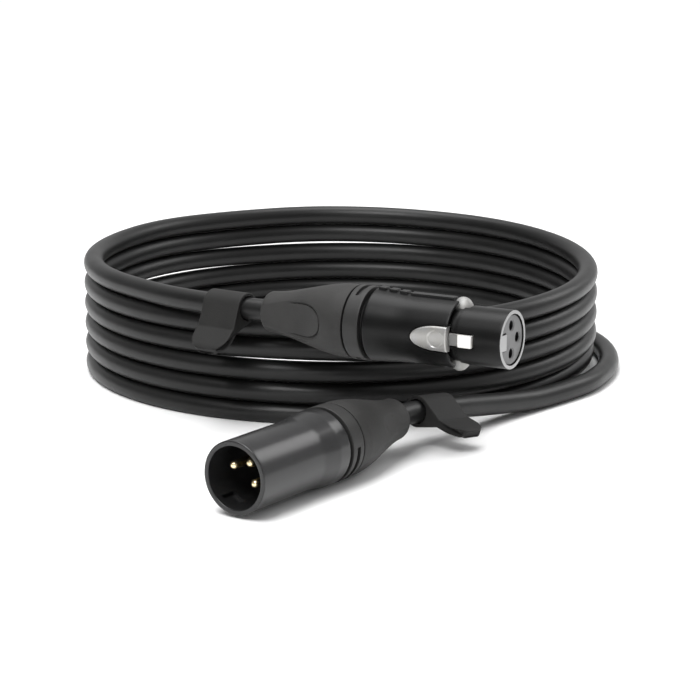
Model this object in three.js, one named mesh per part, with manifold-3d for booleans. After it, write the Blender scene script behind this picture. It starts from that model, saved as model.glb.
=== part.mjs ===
// A microphone lead wound into a stack of turns, with a female and a male three-pin connector.
// Millimetres, +Z up. The part is laid out round the axis of the coil and then centred on its own box.
import * as THREE from "three";
import { mergeVertices } from "three/addons/utils/BufferGeometryUtils.js";
import Module from "manifold-3d";

const wasm = await Module();
wasm.setup();

// ---- Cable and coil ----
const CABLE_DIAMETER = 6.3;
const TURN_PITCH = 6.35; // height from one turn to the next in the stack
const TURN_COUNT = 6; // turns from the top of the stack to the floor
const COIL_RADIUS = 78.5; // of the cable's centre line
const COIL_START_ANGLE = 53; // degrees from the front, where the top turn leaves for the female plug
const COIL_END_ANGLE = 300; // on the lowest turn, where the outer loop leaves for the male plug
const DROP_START_ANGLE = 189; // a turn lies level up to here, and then drops one pitch by the front
const SWING_OUT = 7.3; // how far the lowest turn swings outside the stack on its right
const SWING_START_ANGLE = 168;
const SWING_FULL_ANGLE = 270;
const END_RISE_START_ANGLE = 270; // past it the lowest turn is pressed less, down to its own radius
const TUCK_IN = 2; // how far the turn above tucks in where the outer loop passes it
const TUCK_CENTRE_ANGLE = 320;
const TUCK_HALF_SPAN = 70;
const STEPS_PER_TURN = 24;
const COIL_SIDES = 6;
const FLAT_DEPTH = CABLE_DIAMETER / 10; // the lowest turn is pressed flat this deep where it stands
const LEAD_SIDES = 10;
const LEAD_STEP = 1.25 * CABLE_DIAMETER;
const LEAST_SELF_GAP = 0.4;

// ---- Fits ----
const FACE_GAP = 0.3; // between faces that touch on the real object
const FIT_GAP = 0.3; // radial, between a piece and the bore that it seats in
const LATCH_GAP = 0.35; // round the latch in its window
const TAG_GAP = 0.35; // radial, between the cable and the tag's strap
const CUT_MARGIN = 1; // by which a cutting tool passes the surface that it cuts

// ---- Where the plugs lie ----
const FEMALE_REAR_ANGLE = 13.067; // degrees from the front by way of the left
const FEMALE_REAR_OUT = 10.069; // from the coil's centre line outwards
const FEMALE_HEADING = -29.15; // degrees from +X, the way the plug points
const FEMALE_LIFT = 0.6; // its axis above the top turn's centre line
const MALE_REAR_ANGLE = -7.715;
const MALE_REAR_OUT = 33.847;
const MALE_HEADING = -125.1;
const MALE_ROLL = 60.5; // degrees about the plug's own axis
const MALE_BOOT_ROLL = -132; // of its boot, which screws up to any angle, in the plug

// ---- Boot and collar ring, the same on both plugs ----
const BOOT_LENGTH = 28.8;
const BOOT_REAR_RADIUS = 5.8;
const BOOT_FRONT_RADIUS = 10.2;
const BOOT_CORNER = 1.8;
const BOOT_EDGE = 0.6;
const BOOT_SHOULDER = 3.2; // the straight stretch next to the ring
const BOOT_THROAT_LENGTH = 8.4;
const BOOT_FLARE_RADIUS = 5.4; // of the bore where the throat has opened towards the ring's sleeve
const BOOT_FLARE_EASE = 2 / 3; // 0 for a straight flare, 1 for one that eases in and out fully
const THUMB_FLOOR = 5.35; // of the thumb recess, from the plug's axis
const THUMB_FLAT_LENGTH = 6.4; // from the boot's rear end
const THUMB_SWEEP_RADIUS = 22; // of the curve by which the recess runs out in front
const RING_LENGTH = 5.2;
const RING_RADIUS = 10.3;
const RING_EDGE = 0.5;
const RING_SLEEVE_LENGTH = 7.5;
const RING_SLEEVE_WALL = 1.5;
const RING_SLOT_WIDTH = 1.5;
const RING_SLOT_DEPTH = 0.8;
const RING_SLOT_SPAN = 11.2; // across each of the two slots, one opposite the other

// ---- Chuck, tail and conductors, the same on both plugs ----
const CHUCK_WALL = 1.6;
const CHUCK_LENGTH = 17;
const CHUCK_INSIDE = 10.4; // how far it reaches back into the boot
const CHUCK_SLOT_WIDTH = 1;
const CHUCK_SLOT_LENGTH = 12;
const CHUCK_NOSE = 3;
const CHUCK_NOSE_DROP = 0.9;
const CHUCK_TAIL_DROP = 0.6;
const TAIL_OVERHANG = 0.5; // of the jacket in front of the chuck
const CONDUCTOR_RADIUS = 0.75;
const CONDUCTOR_SPREAD = 1.8; // of the three conductors where they leave the jacket
const CONDUCTOR_SIDES = 8;
const CONDUCTOR_STEPS = 8;

// ---- Three-pin pattern ----
const PIN_CIRCLE_RADIUS = 3.81;
const PIN_RADIUS = 1.2;
const PIN_LENGTH = 17; // in front of the male insert
const PIN_TIP = [[0.15, 0.5], [0.6, 0.87], [1.3, 1]]; // behind the tip, share of the radius
const CUP_LENGTH = 3.5; // solder cup behind each insert
const CUP_STEP = 1; // of the cup inside the insert
const CUP_RADIUS = 1.25;
const CUP_BORE = 0.85;
const CUP_DEPTH = 2.4;

// ---- Female shell ----
const FEMALE_BODY_LENGTH = 25.9;
const FEMALE_REAR_RADIUS = 10.2;
const FEMALE_TAPER_LENGTH = 11;
const FEMALE_BODY_RADIUS = 9.4; // from the end of the taper to the shoulder
const FEMALE_BODY_BORE = 8;
const BARREL_LENGTH = 15.1;
const BARREL_RADIUS = 7.95;
const BARREL_BORE = 6.95;
const NECK_LENGTH = 1.8; // the narrow groove in front of the shoulder
const NECK_RADIUS = 7.55;
const SHELL_REAR_EDGE = 0.9;
const SHELL_EDGE = 0.4;
const SHOULDER_EDGE = 0.8;
const RIB_WIDTH = 2.6;
const RIB_HEIGHT = 0.35;
const RIB_START = 1.2; // of the first tooth, from the shell's rear
const RIB_TOOTH = 2.3;
const RIB_TOOTH_GAP = 0.95;
const RIB_TEETH = 3;
const RIB_RUN_LENGTH = 13.2;
const RIB_ROOT = 8.8; // of its underside, inside the shell's wall
const INSERT_RECESS = 0.4;
const INSERT_LENGTH = 25;
const SOCKET_MOUTH_RADIUS = 1.35;
const SOCKET_MOUTH_DEPTH = 1.5;
const CONTACT_RADIUS = 1.5;
const CONTACT_WALL = 0.25;
const CONTACT_BORE_DEPTH = 15;
const KEY_SLOT_WIDTH = 5;
const KEY_SLOT_FLOOR = 3.5; // from the plug's axis
const KEY_LUG_LENGTH = 3; // of the shell's lug that fills the key slot's mouth

// ---- Latch ----
const LATCH_LENGTH = 10.8; // the bullet-shaped button
const BULLET_STRAIGHT = 0.25; // share of its length with straight sides
const BULLET_NARROWING = 0.7; // share of its length where its sides turn in
const BULLET_TIP = 0.55; // bluntness of its tip, as a share of its half-width
const LATCH_HALF_WIDTH = 3.4;
const LATCH_PROUD = 0.35; // above the shell
const LATCH_THICKNESS = 1.9;
const LATCH_DIMPLE_RADIUS = 1.9;
const LATCH_DIMPLE_DEPTH = 0.35;
const LATCH_DIMPLE_PLACE = 3.2; // behind the button's front end
const TONGUE_WIDTH = 3.3;
const TONGUE_LENGTH = 6.9; // in front of the button
const TONGUE_THICKNESS = 1;
const TONGUE_SETBACK = 0.15; // below the barrel's surface
const HOOK_LENGTH = 4.4;
const HOOK_HEIGHT = 0.8; // above the barrel
const TOE_LENGTH = 1.8; // behind the button's tip, under the shell
const TOE_WIDTH = 2.4;
const TOE_THICKNESS = 0.9;
const LATCH_WELL = 4.9; // the insert's flat under the latch, from the plug's axis
const LEAF_THICKNESS = 0.35;
const LEAF_WIDTH = 3.6;
const LEAF_RISE = 1.5; // of its free end under the latch
const LEAF_BEND = 2; // behind the shoulder, where it leaves the floor
const LEAF_END = 7.8; // behind the shoulder

// ---- Earthing clip ----
const CLIP_THICKNESS = 0.5;
const CLIP_WIDTH = 6.2;
const CLIP_ROLL = -7; // degrees about the plug's axis
const CLIP_OPENING = 9.6; // across its gap, which the latch's tongue and the key slot pass
const DOME_HALF_LENGTH = 2.6;
const DOME_HALF_WIDTH = 2.1;
const DOME_TOP_RADIUS = 10; // of the dome's top, from the plug's axis

// ---- Male shell ----
const MALE_REAR_LENGTH = 5;
const MALE_REAR_RADIUS = 10.25;
const MALE_TAPER_LENGTH = 6;
const MALE_FRONT_LENGTH = 25.5;
const MALE_FRONT_RADIUS = 9.5;
const MALE_BORE = 8.15;
const MALE_CAVITY_DEPTH = 20.4;
const MALE_REAR_BORE = 7.6;
const KEY_RIDGE_WIDTH = 3.6;
const KEY_RIDGE_HEIGHT = 1.1;
const KEY_RIDGE_LENGTH = 5; // it ends just short of a mated female plug's face
const CATCH_DEPTH = 0.8; // of the blind catch that the female latch's hook snaps into
const MALE_INSERT_LENGTH = 7;

// ---- Tags ----
const TAG_WIDTH = 13; // along the cable
const TAG_STRAP = 0.9;
const TAG_FLAP_THICKNESS = 2.3;
const TAG_REACH = 16; // from the cable's axis to the flap's end
const TAG_END_RADIUS = 5.2;
const TAG_ROOT = 8; // from the cable's axis to where the strap's two sides have come together
const FEMALE_TAG_SETBACK = 6.5; // behind the boot
const MALE_TAG_SETBACK = 9.9;
const FEMALE_TAG_LEAN = 46; // degrees outwards from hanging straight down
const MALE_TAG_DROOP = 15; // degrees below level

const SHELL_ROUND = 48; // segments of a shell
const ROUND = 40; // of another large turned piece
const MEDIUM_ROUND = 24;
const SMALL_ROUND = 16;

const cableRadius = CABLE_DIAMETER / 2;
const lowestCentre = cableRadius - FLAT_DEPTH;
const topCentre = lowestCentre + TURN_PITCH * (TURN_COUNT - 1);
const cableBore = cableRadius + FIT_GAP;
const ringStart = BOOT_LENGTH + FACE_GAP;
const shellStart = ringStart + RING_LENGTH + FACE_GAP;
const shoulder = shellStart + FEMALE_BODY_LENGTH;
const femaleLength = shoulder + BARREL_LENGTH;
const maleTaperEnd = shellStart + MALE_REAR_LENGTH + MALE_TAPER_LENGTH;
const maleLength = maleTaperEnd + MALE_FRONT_LENGTH;
const chuckStart = BOOT_LENGTH - CHUCK_INSIDE;
const tailLength = chuckStart + CHUCK_LENGTH + TAIL_OVERHANG;

const radians = THREE.MathUtils.degToRad;

function smoothStep(low, high, value) {
  return THREE.MathUtils.smoothstep(value, low, high);
}

// ---- Solids ----

function solidOf(geometry) {
  const bare = geometry.clone();
  for (const name of Object.keys(bare.attributes)) {
    if (name !== "position") bare.deleteAttribute(name);
  }
  const merged = mergeVertices(bare, 1e-4);
  const mesh = new wasm.Mesh({
    numProp: 3,
    vertProperties: new Float32Array(merged.attributes.position.array),
    triVerts: new Uint32Array(merged.index.array),
  });
  return new wasm.Manifold(mesh);
}

function geometryOf(solid) {
  const mesh = solid.getMesh();
  const geometry = new THREE.BufferGeometry();
  geometry.setAttribute("position", new THREE.BufferAttribute(mesh.vertProperties, 3));
  geometry.setIndex(new THREE.BufferAttribute(mesh.triVerts, 1));
  const flat = geometry.toNonIndexed();
  flat.computeVertexNormals();
  return flat;
}

function cut(base, ...tools) {
  return geometryOf(tools.reduce((left, tool) => left.subtract(solidOf(tool)), solidOf(base)));
}

function join(base, ...others) {
  return geometryOf(others.reduce((sum, other) => sum.add(solidOf(other)), solidOf(base)));
}

function common(base, other) {
  return geometryOf(solidOf(base).intersect(solidOf(other)));
}

// A closed profile of [along, radius] points turned about the X axis.
function turned(profile, segments = ROUND) {
  const points = profile.map(([along, radius]) => new THREE.Vector2(radius, along));
  const geometry = new THREE.LatheGeometry(points, segments);
  geometry.rotateZ(-Math.PI / 2);
  return solidOf(geometry).volume() < 0 ? turnedInsideOut(geometry) : geometry;
}

function turnedInsideOut(geometry) {
  const index = geometry.index.array;
  for (let i = 0; i < index.length; i += 3) {
    [index[i + 1], index[i + 2]] = [index[i + 2], index[i + 1]];
  }
  return geometry;
}

// A tube from `start` to `end` along X, between two radii.
function sleeve(start, end, inner, outer, segments = ROUND) {
  return turned([[start, inner], [end, inner], [end, outer], [start, outer], [start, inner]], segments);
}

function rod(start, end, radius, segments = SMALL_ROUND) {
  return turned([[start, 0], [end, 0], [end, radius], [start, radius], [start, 0]], segments);
}

function block(x0, x1, y0, y1, z0, z1) {
  const geometry = new THREE.BoxGeometry(x1 - x0, y1 - y0, z1 - z0);
  return geometry.translate((x0 + x1) / 2, (y0 + y1) / 2, (z0 + z1) / 2);
}

// An outline in X and Z pushed through from y0 to y1.
function sidePlate(shape, y0, y1, curveSegments = 10) {
  const geometry = new THREE.ExtrudeGeometry(shape, {
    depth: y1 - y0,
    bevelEnabled: false,
    curveSegments,
  });
  geometry.rotateX(Math.PI / 2);
  return geometry.translate(0, y1, 0);
}

function tubeAlong(curve, radius, sides, steps) {
  const section = new THREE.Shape();
  for (let i = 0; i < sides; i += 1) {
    const angle = (2 * Math.PI * i) / sides;
    const point = [radius * Math.cos(angle), radius * Math.sin(angle)];
    if (i === 0) section.moveTo(...point);
    else section.lineTo(...point);
  }
  section.closePath();
  return new THREE.ExtrudeGeometry(section, {
    steps,
    bevelEnabled: false,
    extrudePath: curve,
    curveSegments: 1,
  });
}

function finish(color, roughness, metalness) {
  return new THREE.MeshStandardMaterial({ color, roughness, metalness });
}

function piece(name, geometry, material) {
  const mesh = new THREE.Mesh(geometry, material);
  mesh.name = name;
  return mesh;
}

// ---- Materials ----
const jacketFinish = () => finish(0x17181a, 0.48, 0);
const bootFinish = () => finish(0x2f3032, 0.62, 0);
const ringFinish = () => finish(0x2a2b2d, 0.5, 0);
const satinBlackFinish = () => finish(0x141516, 0.35, 0.6);
const blackChromeFinish = () => finish(0x0b0b0c, 0.16, 0.9);
const nickelFinish = () => finish(0xd6d3cd, 0.28, 1);
const insertGreyFinish = () => finish(0x77787a, 0.55, 0);
const insertBlackFinish = () => finish(0x101011, 0.5, 0);
const goldFinish = () => finish(0xd9b25a, 0.25, 1);
const tagFinish = () => finish(0x34322f, 0.7, 0);
const acetalFinish = () => finish(0xd9d8d2, 0.5, 0);
const springFinish = () => finish(0xb8babd, 0.3, 1);
const conductorFinishes = [finish(0xb87333, 0.35, 1), finish(0xb3202a, 0.5, 0), finish(0xe8e6df, 0.5, 0)];

// ---- Coil ----

// The cable's centre at an angle in degrees, counted from the front by way of the left.
function coilCentre(angle) {
  const turn = Math.min(Math.floor(angle / 360), TURN_COUNT - 1);
  const within = angle - 360 * turn;
  const lowest = turn === TURN_COUNT - 1;
  const drop = lowest ? 0 : smoothStep(DROP_START_ANGLE, 360, within);
  let height = lowestCentre + TURN_PITCH * (TURN_COUNT - 1 - turn - drop);
  let radius = COIL_RADIUS;
  if (lowest) {
    height += FLAT_DEPTH * smoothStep(END_RISE_START_ANGLE, COIL_END_ANGLE, within);
    radius += SWING_OUT * smoothStep(SWING_START_ANGLE, SWING_FULL_ANGLE, within);
  }
  const fromTuck = Math.abs(angle - (360 * (TURN_COUNT - 2) + TUCK_CENTRE_ANGLE));
  radius -= TUCK_IN * (1 - smoothStep(0, TUCK_HALF_SPAN, fromTuck));
  const at = radians(angle);
  return new THREE.Vector3(-radius * Math.sin(at), -radius * Math.cos(at), height);
}

// The coil's centre line, with a straight run of one diameter at each end.
function coilPath() {
  const last = 360 * (TURN_COUNT - 1) + COIL_END_ANGLE;
  const steps = Math.round(((last - COIL_START_ANGLE) * STEPS_PER_TURN) / 360);
  const points = [];
  for (let i = 0; i <= steps; i += 1) {
    points.push(coilCentre(COIL_START_ANGLE + ((last - COIL_START_ANGLE) * i) / steps));
  }
  const nose = levelDirection(points[1], points[0]);
  const tail = levelDirection(points[steps - 1], points[steps]);
  points.unshift(points[0].clone().addScaledVector(nose, CABLE_DIAMETER));
  points.push(points.at(-1).clone().addScaledVector(tail, CABLE_DIAMETER));
  return points;
}

function levelDirection(from, to) {
  return new THREE.Vector3(to.x - from.x, to.y - from.y, 0).normalize();
}

// The direction of the path at point i. An end point keeps the direction of its straight run.
function pathDirection(points, i) {
  if (i <= 1) return points[0].clone().sub(points[1]).negate().normalize();
  if (i >= points.length - 2) return points.at(-1).clone().sub(points.at(-2)).normalize();
  return points[i + 1].clone().sub(points[i - 1]).normalize();
}

// Rings of points round a path, flats above and below, pressed flat at the floor.
function tubeRings(points, radius, sides) {
  const up = new THREE.Vector3(0, 0, 1);
  return points.map((centre, i) => {
    const along = pathDirection(points, i);
    const across = new THREE.Vector3().crossVectors(along, up).normalize();
    const above = new THREE.Vector3().crossVectors(across, along);
    return Array.from({ length: sides }, (_, k) => {
      const angle = (2 * Math.PI * k) / sides;
      const point = centre.clone();
      point.addScaledVector(across, radius * Math.cos(angle));
      point.addScaledVector(above, radius * Math.sin(angle));
      point.z = Math.max(point.z, 0);
      return point;
    });
  });
}

// A closed skin over rings of points, with a flat fan at each end.
function skinOver(rings) {
  const sides = rings[0].length;
  const positions = rings.flat().flatMap((point) => point.toArray());
  const faces = [];
  for (let i = 0; i + 1 < rings.length; i += 1) {
    for (let k = 0; k < sides; k += 1) {
      const a = i * sides + k;
      const b = i * sides + ((k + 1) % sides);
      faces.push(a, b, b + sides, a, b + sides, a + sides);
    }
  }
  const lastRing = (rings.length - 1) * sides;
  for (let k = 1; k + 1 < sides; k += 1) {
    faces.push(0, k + 1, k, lastRing, lastRing + k, lastRing + k + 1);
  }
  const geometry = new THREE.BufferGeometry();
  geometry.setAttribute("position", new THREE.Float32BufferAttribute(positions, 3));
  geometry.setIndex(faces);
  geometry.computeVertexNormals();
  return solidOf(geometry).volume() < 0 ? turnedInsideOut(geometry) : geometry;
}

// The least distance from points on the tube to its own faces over half a turn away along it.
function leastSelfGap(rings) {
  const stepLength = rings[1][0].distanceTo(rings[2][0]);
  let least = Infinity;
  rings.forEach((ring, i) => {
    const spots = ring.flatMap((point, k) => [point, point.clone().lerp(ring.at(k - 1), 0.5)]);
    for (let j = 0; j + 1 < rings.length; j += 1) {
      const apart = ring[0].distanceTo(rings[j][0]);
      if (Math.abs(i - j) < STEPS_PER_TURN / 2 || apart > 2 * stepLength) continue;
      least = Math.min(least, gapToStretch(spots, rings[j], rings[j + 1]));
    }
  });
  return least;
}

function gapToStretch(spots, ring, next) {
  const face = new THREE.Triangle();
  const nearest = new THREE.Vector3();
  let least = Infinity;
  for (let k = 0; k < ring.length; k += 1) {
    for (const corner of [ring.at(k - 1), next[k]]) {
      face.set(ring[k], next.at(k - 1), corner);
      for (const spot of spots) {
        least = Math.min(least, face.closestPointToPoint(spot, nearest).distanceTo(spot));
      }
    }
  }
  return least;
}

// ---- Leads ----

function outsideCoil(angle, outwards, height) {
  const reach = COIL_RADIUS + outwards;
  return new THREE.Vector3(-reach * Math.sin(radians(angle)), -reach * Math.cos(radians(angle)), height);
}

// A lead's end: its angle round the coil, its distance outwards, its height and its direction.
function plugEnd(angle, outwards, height, heading) {
  const along = new THREE.Vector3(Math.cos(radians(heading)), Math.sin(radians(heading)), 0);
  return { angle, outwards, height, along, rear: outsideCoil(angle, outwards, height) };
}

const femaleEnd = plugEnd(
  FEMALE_REAR_ANGLE,
  FEMALE_REAR_OUT,
  topCentre + FEMALE_LIFT,
  FEMALE_HEADING,
);
const maleEnd = plugEnd(MALE_REAR_ANGLE, MALE_REAR_OUT, RING_RADIUS, MALE_HEADING);

// A lead from the coil's end, straight for one diameter, to a boot. Between them it passes places
// given as shares of the way from one to the other: in angle, outwards and upwards.
function leadCurve(start, way, between, end) {
  const first = start.spot.clone().addScaledVector(way, FACE_GAP);
  const last = end.rear.clone().addScaledVector(end.along, -FACE_GAP);
  const points = [first, first.clone().addScaledVector(way, CABLE_DIAMETER)];
  for (const [turn, outwards, rise] of between) {
    points.push(outsideCoil(
      THREE.MathUtils.lerp(start.angle, end.angle, turn),
      THREE.MathUtils.lerp(start.outwards, end.outwards, outwards),
      THREE.MathUtils.lerp(start.height, end.height, rise),
    ));
  }
  points.push(last.clone().addScaledVector(end.along, -CABLE_DIAMETER));
  points.push(last);
  return new THREE.CatmullRomCurve3(points, false, "centripetal");
}

const FEMALE_LEAD_SHARES = [
  [0.3460, 0.1733, 0.2167],
  [0.5605, 0.3744, 0.5500],
  [0.7687, 0.6304, 0.8833],
];
const MALE_LEAD_SHARES = [
  [0.3125, -0.0348, 0.0210],
  [0.4632, 0.0277, 0.1748],
  [0.6155, 0.1582, 0.3986],
  [0.7557, 0.3630, 0.6503],
];

const coilPoints = coilPath();
const coilRings = tubeRings(coilPoints, cableRadius, COIL_SIDES);
const selfGap = leastSelfGap(coilRings);
console.log(`least gap of the coil to itself: ${selfGap.toFixed(2)} mm, over ${LEAST_SELF_GAP}`);

const femaleLead = leadCurve(
  { spot: coilPoints[0], angle: COIL_START_ANGLE, outwards: 0, height: topCentre },
  levelDirection(coilPoints[1], coilPoints[0]),
  FEMALE_LEAD_SHARES,
  femaleEnd,
);
const maleLead = leadCurve(
  { spot: coilPoints.at(-1), angle: COIL_END_ANGLE - 360, outwards: SWING_OUT, height: cableRadius },
  levelDirection(coilPoints.at(-2), coilPoints.at(-1)),
  MALE_LEAD_SHARES,
  maleEnd,
);

function coilLength() {
  let sum = 0;
  for (let i = 1; i < coilPoints.length; i += 1) sum += coilPoints[i].distanceTo(coilPoints[i - 1]);
  return sum;
}
const shownLength = coilLength() + femaleLead.getLength() + maleLead.getLength();
console.log(`cable from boot to boot: ${shownLength.toFixed(0)} mm`);

function leadTube(curve) {
  const steps = Math.ceil(curve.getLength() / LEAD_STEP);
  return tubeAlong(curve, cableRadius, LEAD_SIDES, steps);
}

function cable() {
  const group = new THREE.Group();
  group.add(piece("cable_coil", skinOver(coilRings), jacketFinish()));
  group.add(piece("cable_lead_female", leadTube(femaleLead), jacketFinish()));
  group.add(piece("cable_lead_male", leadTube(maleLead), jacketFinish()));
  return group;
}

// ---- Pieces that both plugs share. X runs from the boot's rear end towards the mating face. ----

function thumbTool(side) {
  const clear = BOOT_FRONT_RADIUS + CUT_MARGIN;
  const sweepEnd = Math.asin(1 - (clear - THUMB_FLOOR) / THUMB_SWEEP_RADIUS);
  const shape = new THREE.Shape();
  shape.moveTo(-CUT_MARGIN, -THUMB_FLOOR);
  shape.lineTo(THUMB_FLAT_LENGTH, -THUMB_FLOOR);
  shape.absarc(
    THUMB_FLAT_LENGTH,
    -THUMB_FLOOR - THUMB_SWEEP_RADIUS,
    THUMB_SWEEP_RADIUS,
    Math.PI / 2,
    sweepEnd,
    true,
  );
  shape.lineTo(-CUT_MARGIN, -clear);
  shape.closePath();
  const geometry = new THREE.ExtrudeGeometry(shape, {
    depth: 2 * clear,
    bevelEnabled: false,
    curveSegments: 10,
  });
  geometry.translate(0, 0, -clear);
  return side > 0 ? geometry.rotateX(Math.PI) : geometry;
}

function boot() {
  const waist = BOOT_LENGTH - BOOT_SHOULDER;
  const sleeveRoom = ringSleeveRadius + FIT_GAP;
  const sleeveEnd = ringStart - RING_SLEEVE_LENGTH - FACE_GAP;
  const profile = [
    [0, cableBore],
    [BOOT_THROAT_LENGTH, cableBore],
    [sleeveEnd, BOOT_FLARE_RADIUS],
    [sleeveEnd, sleeveRoom],
    [BOOT_LENGTH, sleeveRoom],
    [BOOT_LENGTH, BOOT_FRONT_RADIUS - BOOT_EDGE],
    [BOOT_LENGTH - BOOT_EDGE, BOOT_FRONT_RADIUS],
    [waist, BOOT_FRONT_RADIUS],
  ];
  const flareSteps = 6;
  for (let i = 1; i <= flareSteps; i += 1) {
    const share = 1 - i / flareSteps;
    const eased = THREE.MathUtils.lerp(share, smoothStep(0, 1, share), BOOT_FLARE_EASE);
    const along = THREE.MathUtils.lerp(BOOT_CORNER, waist, share);
    profile.push([along, THREE.MathUtils.lerp(BOOT_REAR_RADIUS, BOOT_FRONT_RADIUS, eased)]);
  }
  const cornerSteps = 3;
  for (let i = 1; i <= cornerSteps; i += 1) {
    const turn = (i / cornerSteps) * (Math.PI / 2);
    const along = BOOT_CORNER * (1 - Math.sin(turn));
    profile.push([along, BOOT_REAR_RADIUS - BOOT_CORNER * (1 - Math.cos(turn))]);
  }
  profile.push([0, cableBore]);
  return cut(turned(profile), thumbTool(-1), thumbTool(1));
}

const chuckRadius = cableBore + CHUCK_WALL;
const ringSleeveRadius = chuckRadius + FIT_GAP + RING_SLEEVE_WALL;

function collarRing() {
  const inner = chuckRadius + FIT_GAP;
  const end = ringStart + RING_LENGTH;
  const body = turned([
    [ringStart - RING_SLEEVE_LENGTH, inner],
    [end, inner],
    [end, RING_RADIUS - RING_EDGE],
    [end - RING_EDGE, RING_RADIUS],
    [ringStart + RING_EDGE, RING_RADIUS],
    [ringStart, RING_RADIUS - RING_EDGE],
    [ringStart, ringSleeveRadius],
    [ringStart - RING_SLEEVE_LENGTH, ringSleeveRadius],
    [ringStart - RING_SLEEVE_LENGTH, inner],
  ]);
  const middle = ringStart + RING_LENGTH / 2;
  const groove = sleeve(
    middle - RING_SLOT_WIDTH / 2,
    middle + RING_SLOT_WIDTH / 2,
    RING_RADIUS - RING_SLOT_DEPTH,
    RING_RADIUS + CUT_MARGIN,
  );
  const reach = RING_RADIUS + 2 * CUT_MARGIN;
  const span = block(ringStart, end, -RING_SLOT_SPAN / 2, RING_SLOT_SPAN / 2, -reach, reach);
  return cut(body, common(groove, span));
}

function chuck() {
  const end = chuckStart + CHUCK_LENGTH;
  const body = turned([
    [chuckStart, cableBore],
    [end, cableBore],
    [end, chuckRadius - CHUCK_TAIL_DROP],
    [end - CHUCK_NOSE, chuckRadius],
    [chuckStart + CHUCK_NOSE, chuckRadius],
    [chuckStart, chuckRadius - CHUCK_NOSE_DROP],
    [chuckStart, cableBore],
  ], MEDIUM_ROUND);
  const reach = chuckRadius + CUT_MARGIN;
  const half = CHUCK_SLOT_WIDTH / 2;
  const slotEnd = chuckStart + CHUCK_SLOT_LENGTH;
  const flatSlot = block(chuckStart - CUT_MARGIN, slotEnd, -reach, reach, -half, half);
  const uprightSlot = block(chuckStart - CUT_MARGIN, slotEnd, -half, half, -reach, reach);
  return cut(body, flatSlot, uprightSlot);
}

function cableTail() {
  return rod(0, tailLength, cableRadius, LEAD_SIDES * 2);
}

// Contact places in the plug's Y and Z. The key stands opposite the middle one.
function contactPlaces(keySide) {
  return [
    [0, PIN_CIRCLE_RADIUS],
    [0, -PIN_CIRCLE_RADIUS],
    [-keySide * PIN_CIRCLE_RADIUS, 0],
  ];
}

function conductors(prefix, places, cupEnd) {
  const start = tailLength + FACE_GAP;
  const end = cupEnd - FACE_GAP;
  const quarter = (end - start) / 4;
  return places.map(([y, z], i) => {
    const share = CONDUCTOR_SPREAD / PIN_CIRCLE_RADIUS;
    const curve = new THREE.CatmullRomCurve3([
      new THREE.Vector3(start, y * share, z * share),
      new THREE.Vector3(start + quarter, y * share, z * share),
      new THREE.Vector3(end - quarter, y, z),
      new THREE.Vector3(end, y, z),
    ]);
    const tube = tubeAlong(curve, CONDUCTOR_RADIUS, CONDUCTOR_SIDES, CONDUCTOR_STEPS);
    return piece(`${prefix}_conductor_${i + 1}`, tube, conductorFinishes[i]);
  });
}

// The plug's group, with X from its rear end along its heading.
function placed(group, end, roll) {
  group.rotation.set(radians(roll), 0, 0);
  const holder = new THREE.Group();
  holder.add(group);
  holder.position.copy(end.rear);
  holder.rotation.z = Math.atan2(end.along.y, end.along.x);
  return holder;
}

function rearPieces(prefix, bootRoll) {
  return [
    piece(`${prefix}_boot`, boot().rotateX(radians(bootRoll)), bootFinish()),
    piece(`${prefix}_ring`, collarRing(), ringFinish()),
    piece(`${prefix}_chuck`, chuck(), acetalFinish()),
    piece(`${prefix}_cable_tail`, cableTail(), jacketFinish()),
  ];
}

// ---- Female plug ----
const LATCH_SIDE = -1; // the latch and the key slot face -Y of the plug

function bulletShape(front, length, halfWidth, grow) {
  const wide = halfWidth + grow;
  const tip = front - length - grow;
  const straight = front - length * BULLET_STRAIGHT;
  const narrowing = front - length * BULLET_NARROWING;
  const blunt = wide * BULLET_TIP;
  const shape = new THREE.Shape();
  shape.moveTo(front + grow, -wide);
  shape.lineTo(front + grow, wide);
  shape.lineTo(straight, wide);
  shape.bezierCurveTo(narrowing, wide, tip, blunt, tip, 0);
  shape.bezierCurveTo(tip, -blunt, narrowing, -wide, straight, -wide);
  shape.closePath();
  return shape;
}

function femaleBodyRadius(x) {
  const share = Math.min((x - shellStart) / FEMALE_TAPER_LENGTH, 1);
  return THREE.MathUtils.lerp(FEMALE_REAR_RADIUS, FEMALE_BODY_RADIUS, share);
}

function topRib() {
  const bars = [];
  let start = shellStart + RIB_START;
  for (let i = 0; i < RIB_TEETH; i += 1) {
    bars.push([start, start + RIB_TOOTH]);
    start += RIB_TOOTH + RIB_TOOTH_GAP;
  }
  bars.push([start, start + RIB_RUN_LENGTH]);
  return bars.map(([x0, x1]) =>
    block(x0, x1, -RIB_WIDTH / 2, RIB_WIDTH / 2, RIB_ROOT, femaleBodyRadius(x0) + RIB_HEIGHT),
  );
}

const hookEnd = shoulder + TONGUE_LENGTH;
const latchTop = FEMALE_BODY_RADIUS + LATCH_PROUD;
const latchUnder = latchTop - LATCH_THICKNESS;
const latchRoot = shoulder - LATCH_LENGTH / 3; // where the tongue starts under the button
const clipOuter = BARREL_BORE - FIT_GAP;
const clipInner = clipOuter - CLIP_THICKNESS;
const clipStart = shoulder - CLIP_WIDTH / 2;
const clipEnd = shoulder + CLIP_WIDTH / 2;
const lugStart = femaleLength - KEY_LUG_LENGTH;

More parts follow.
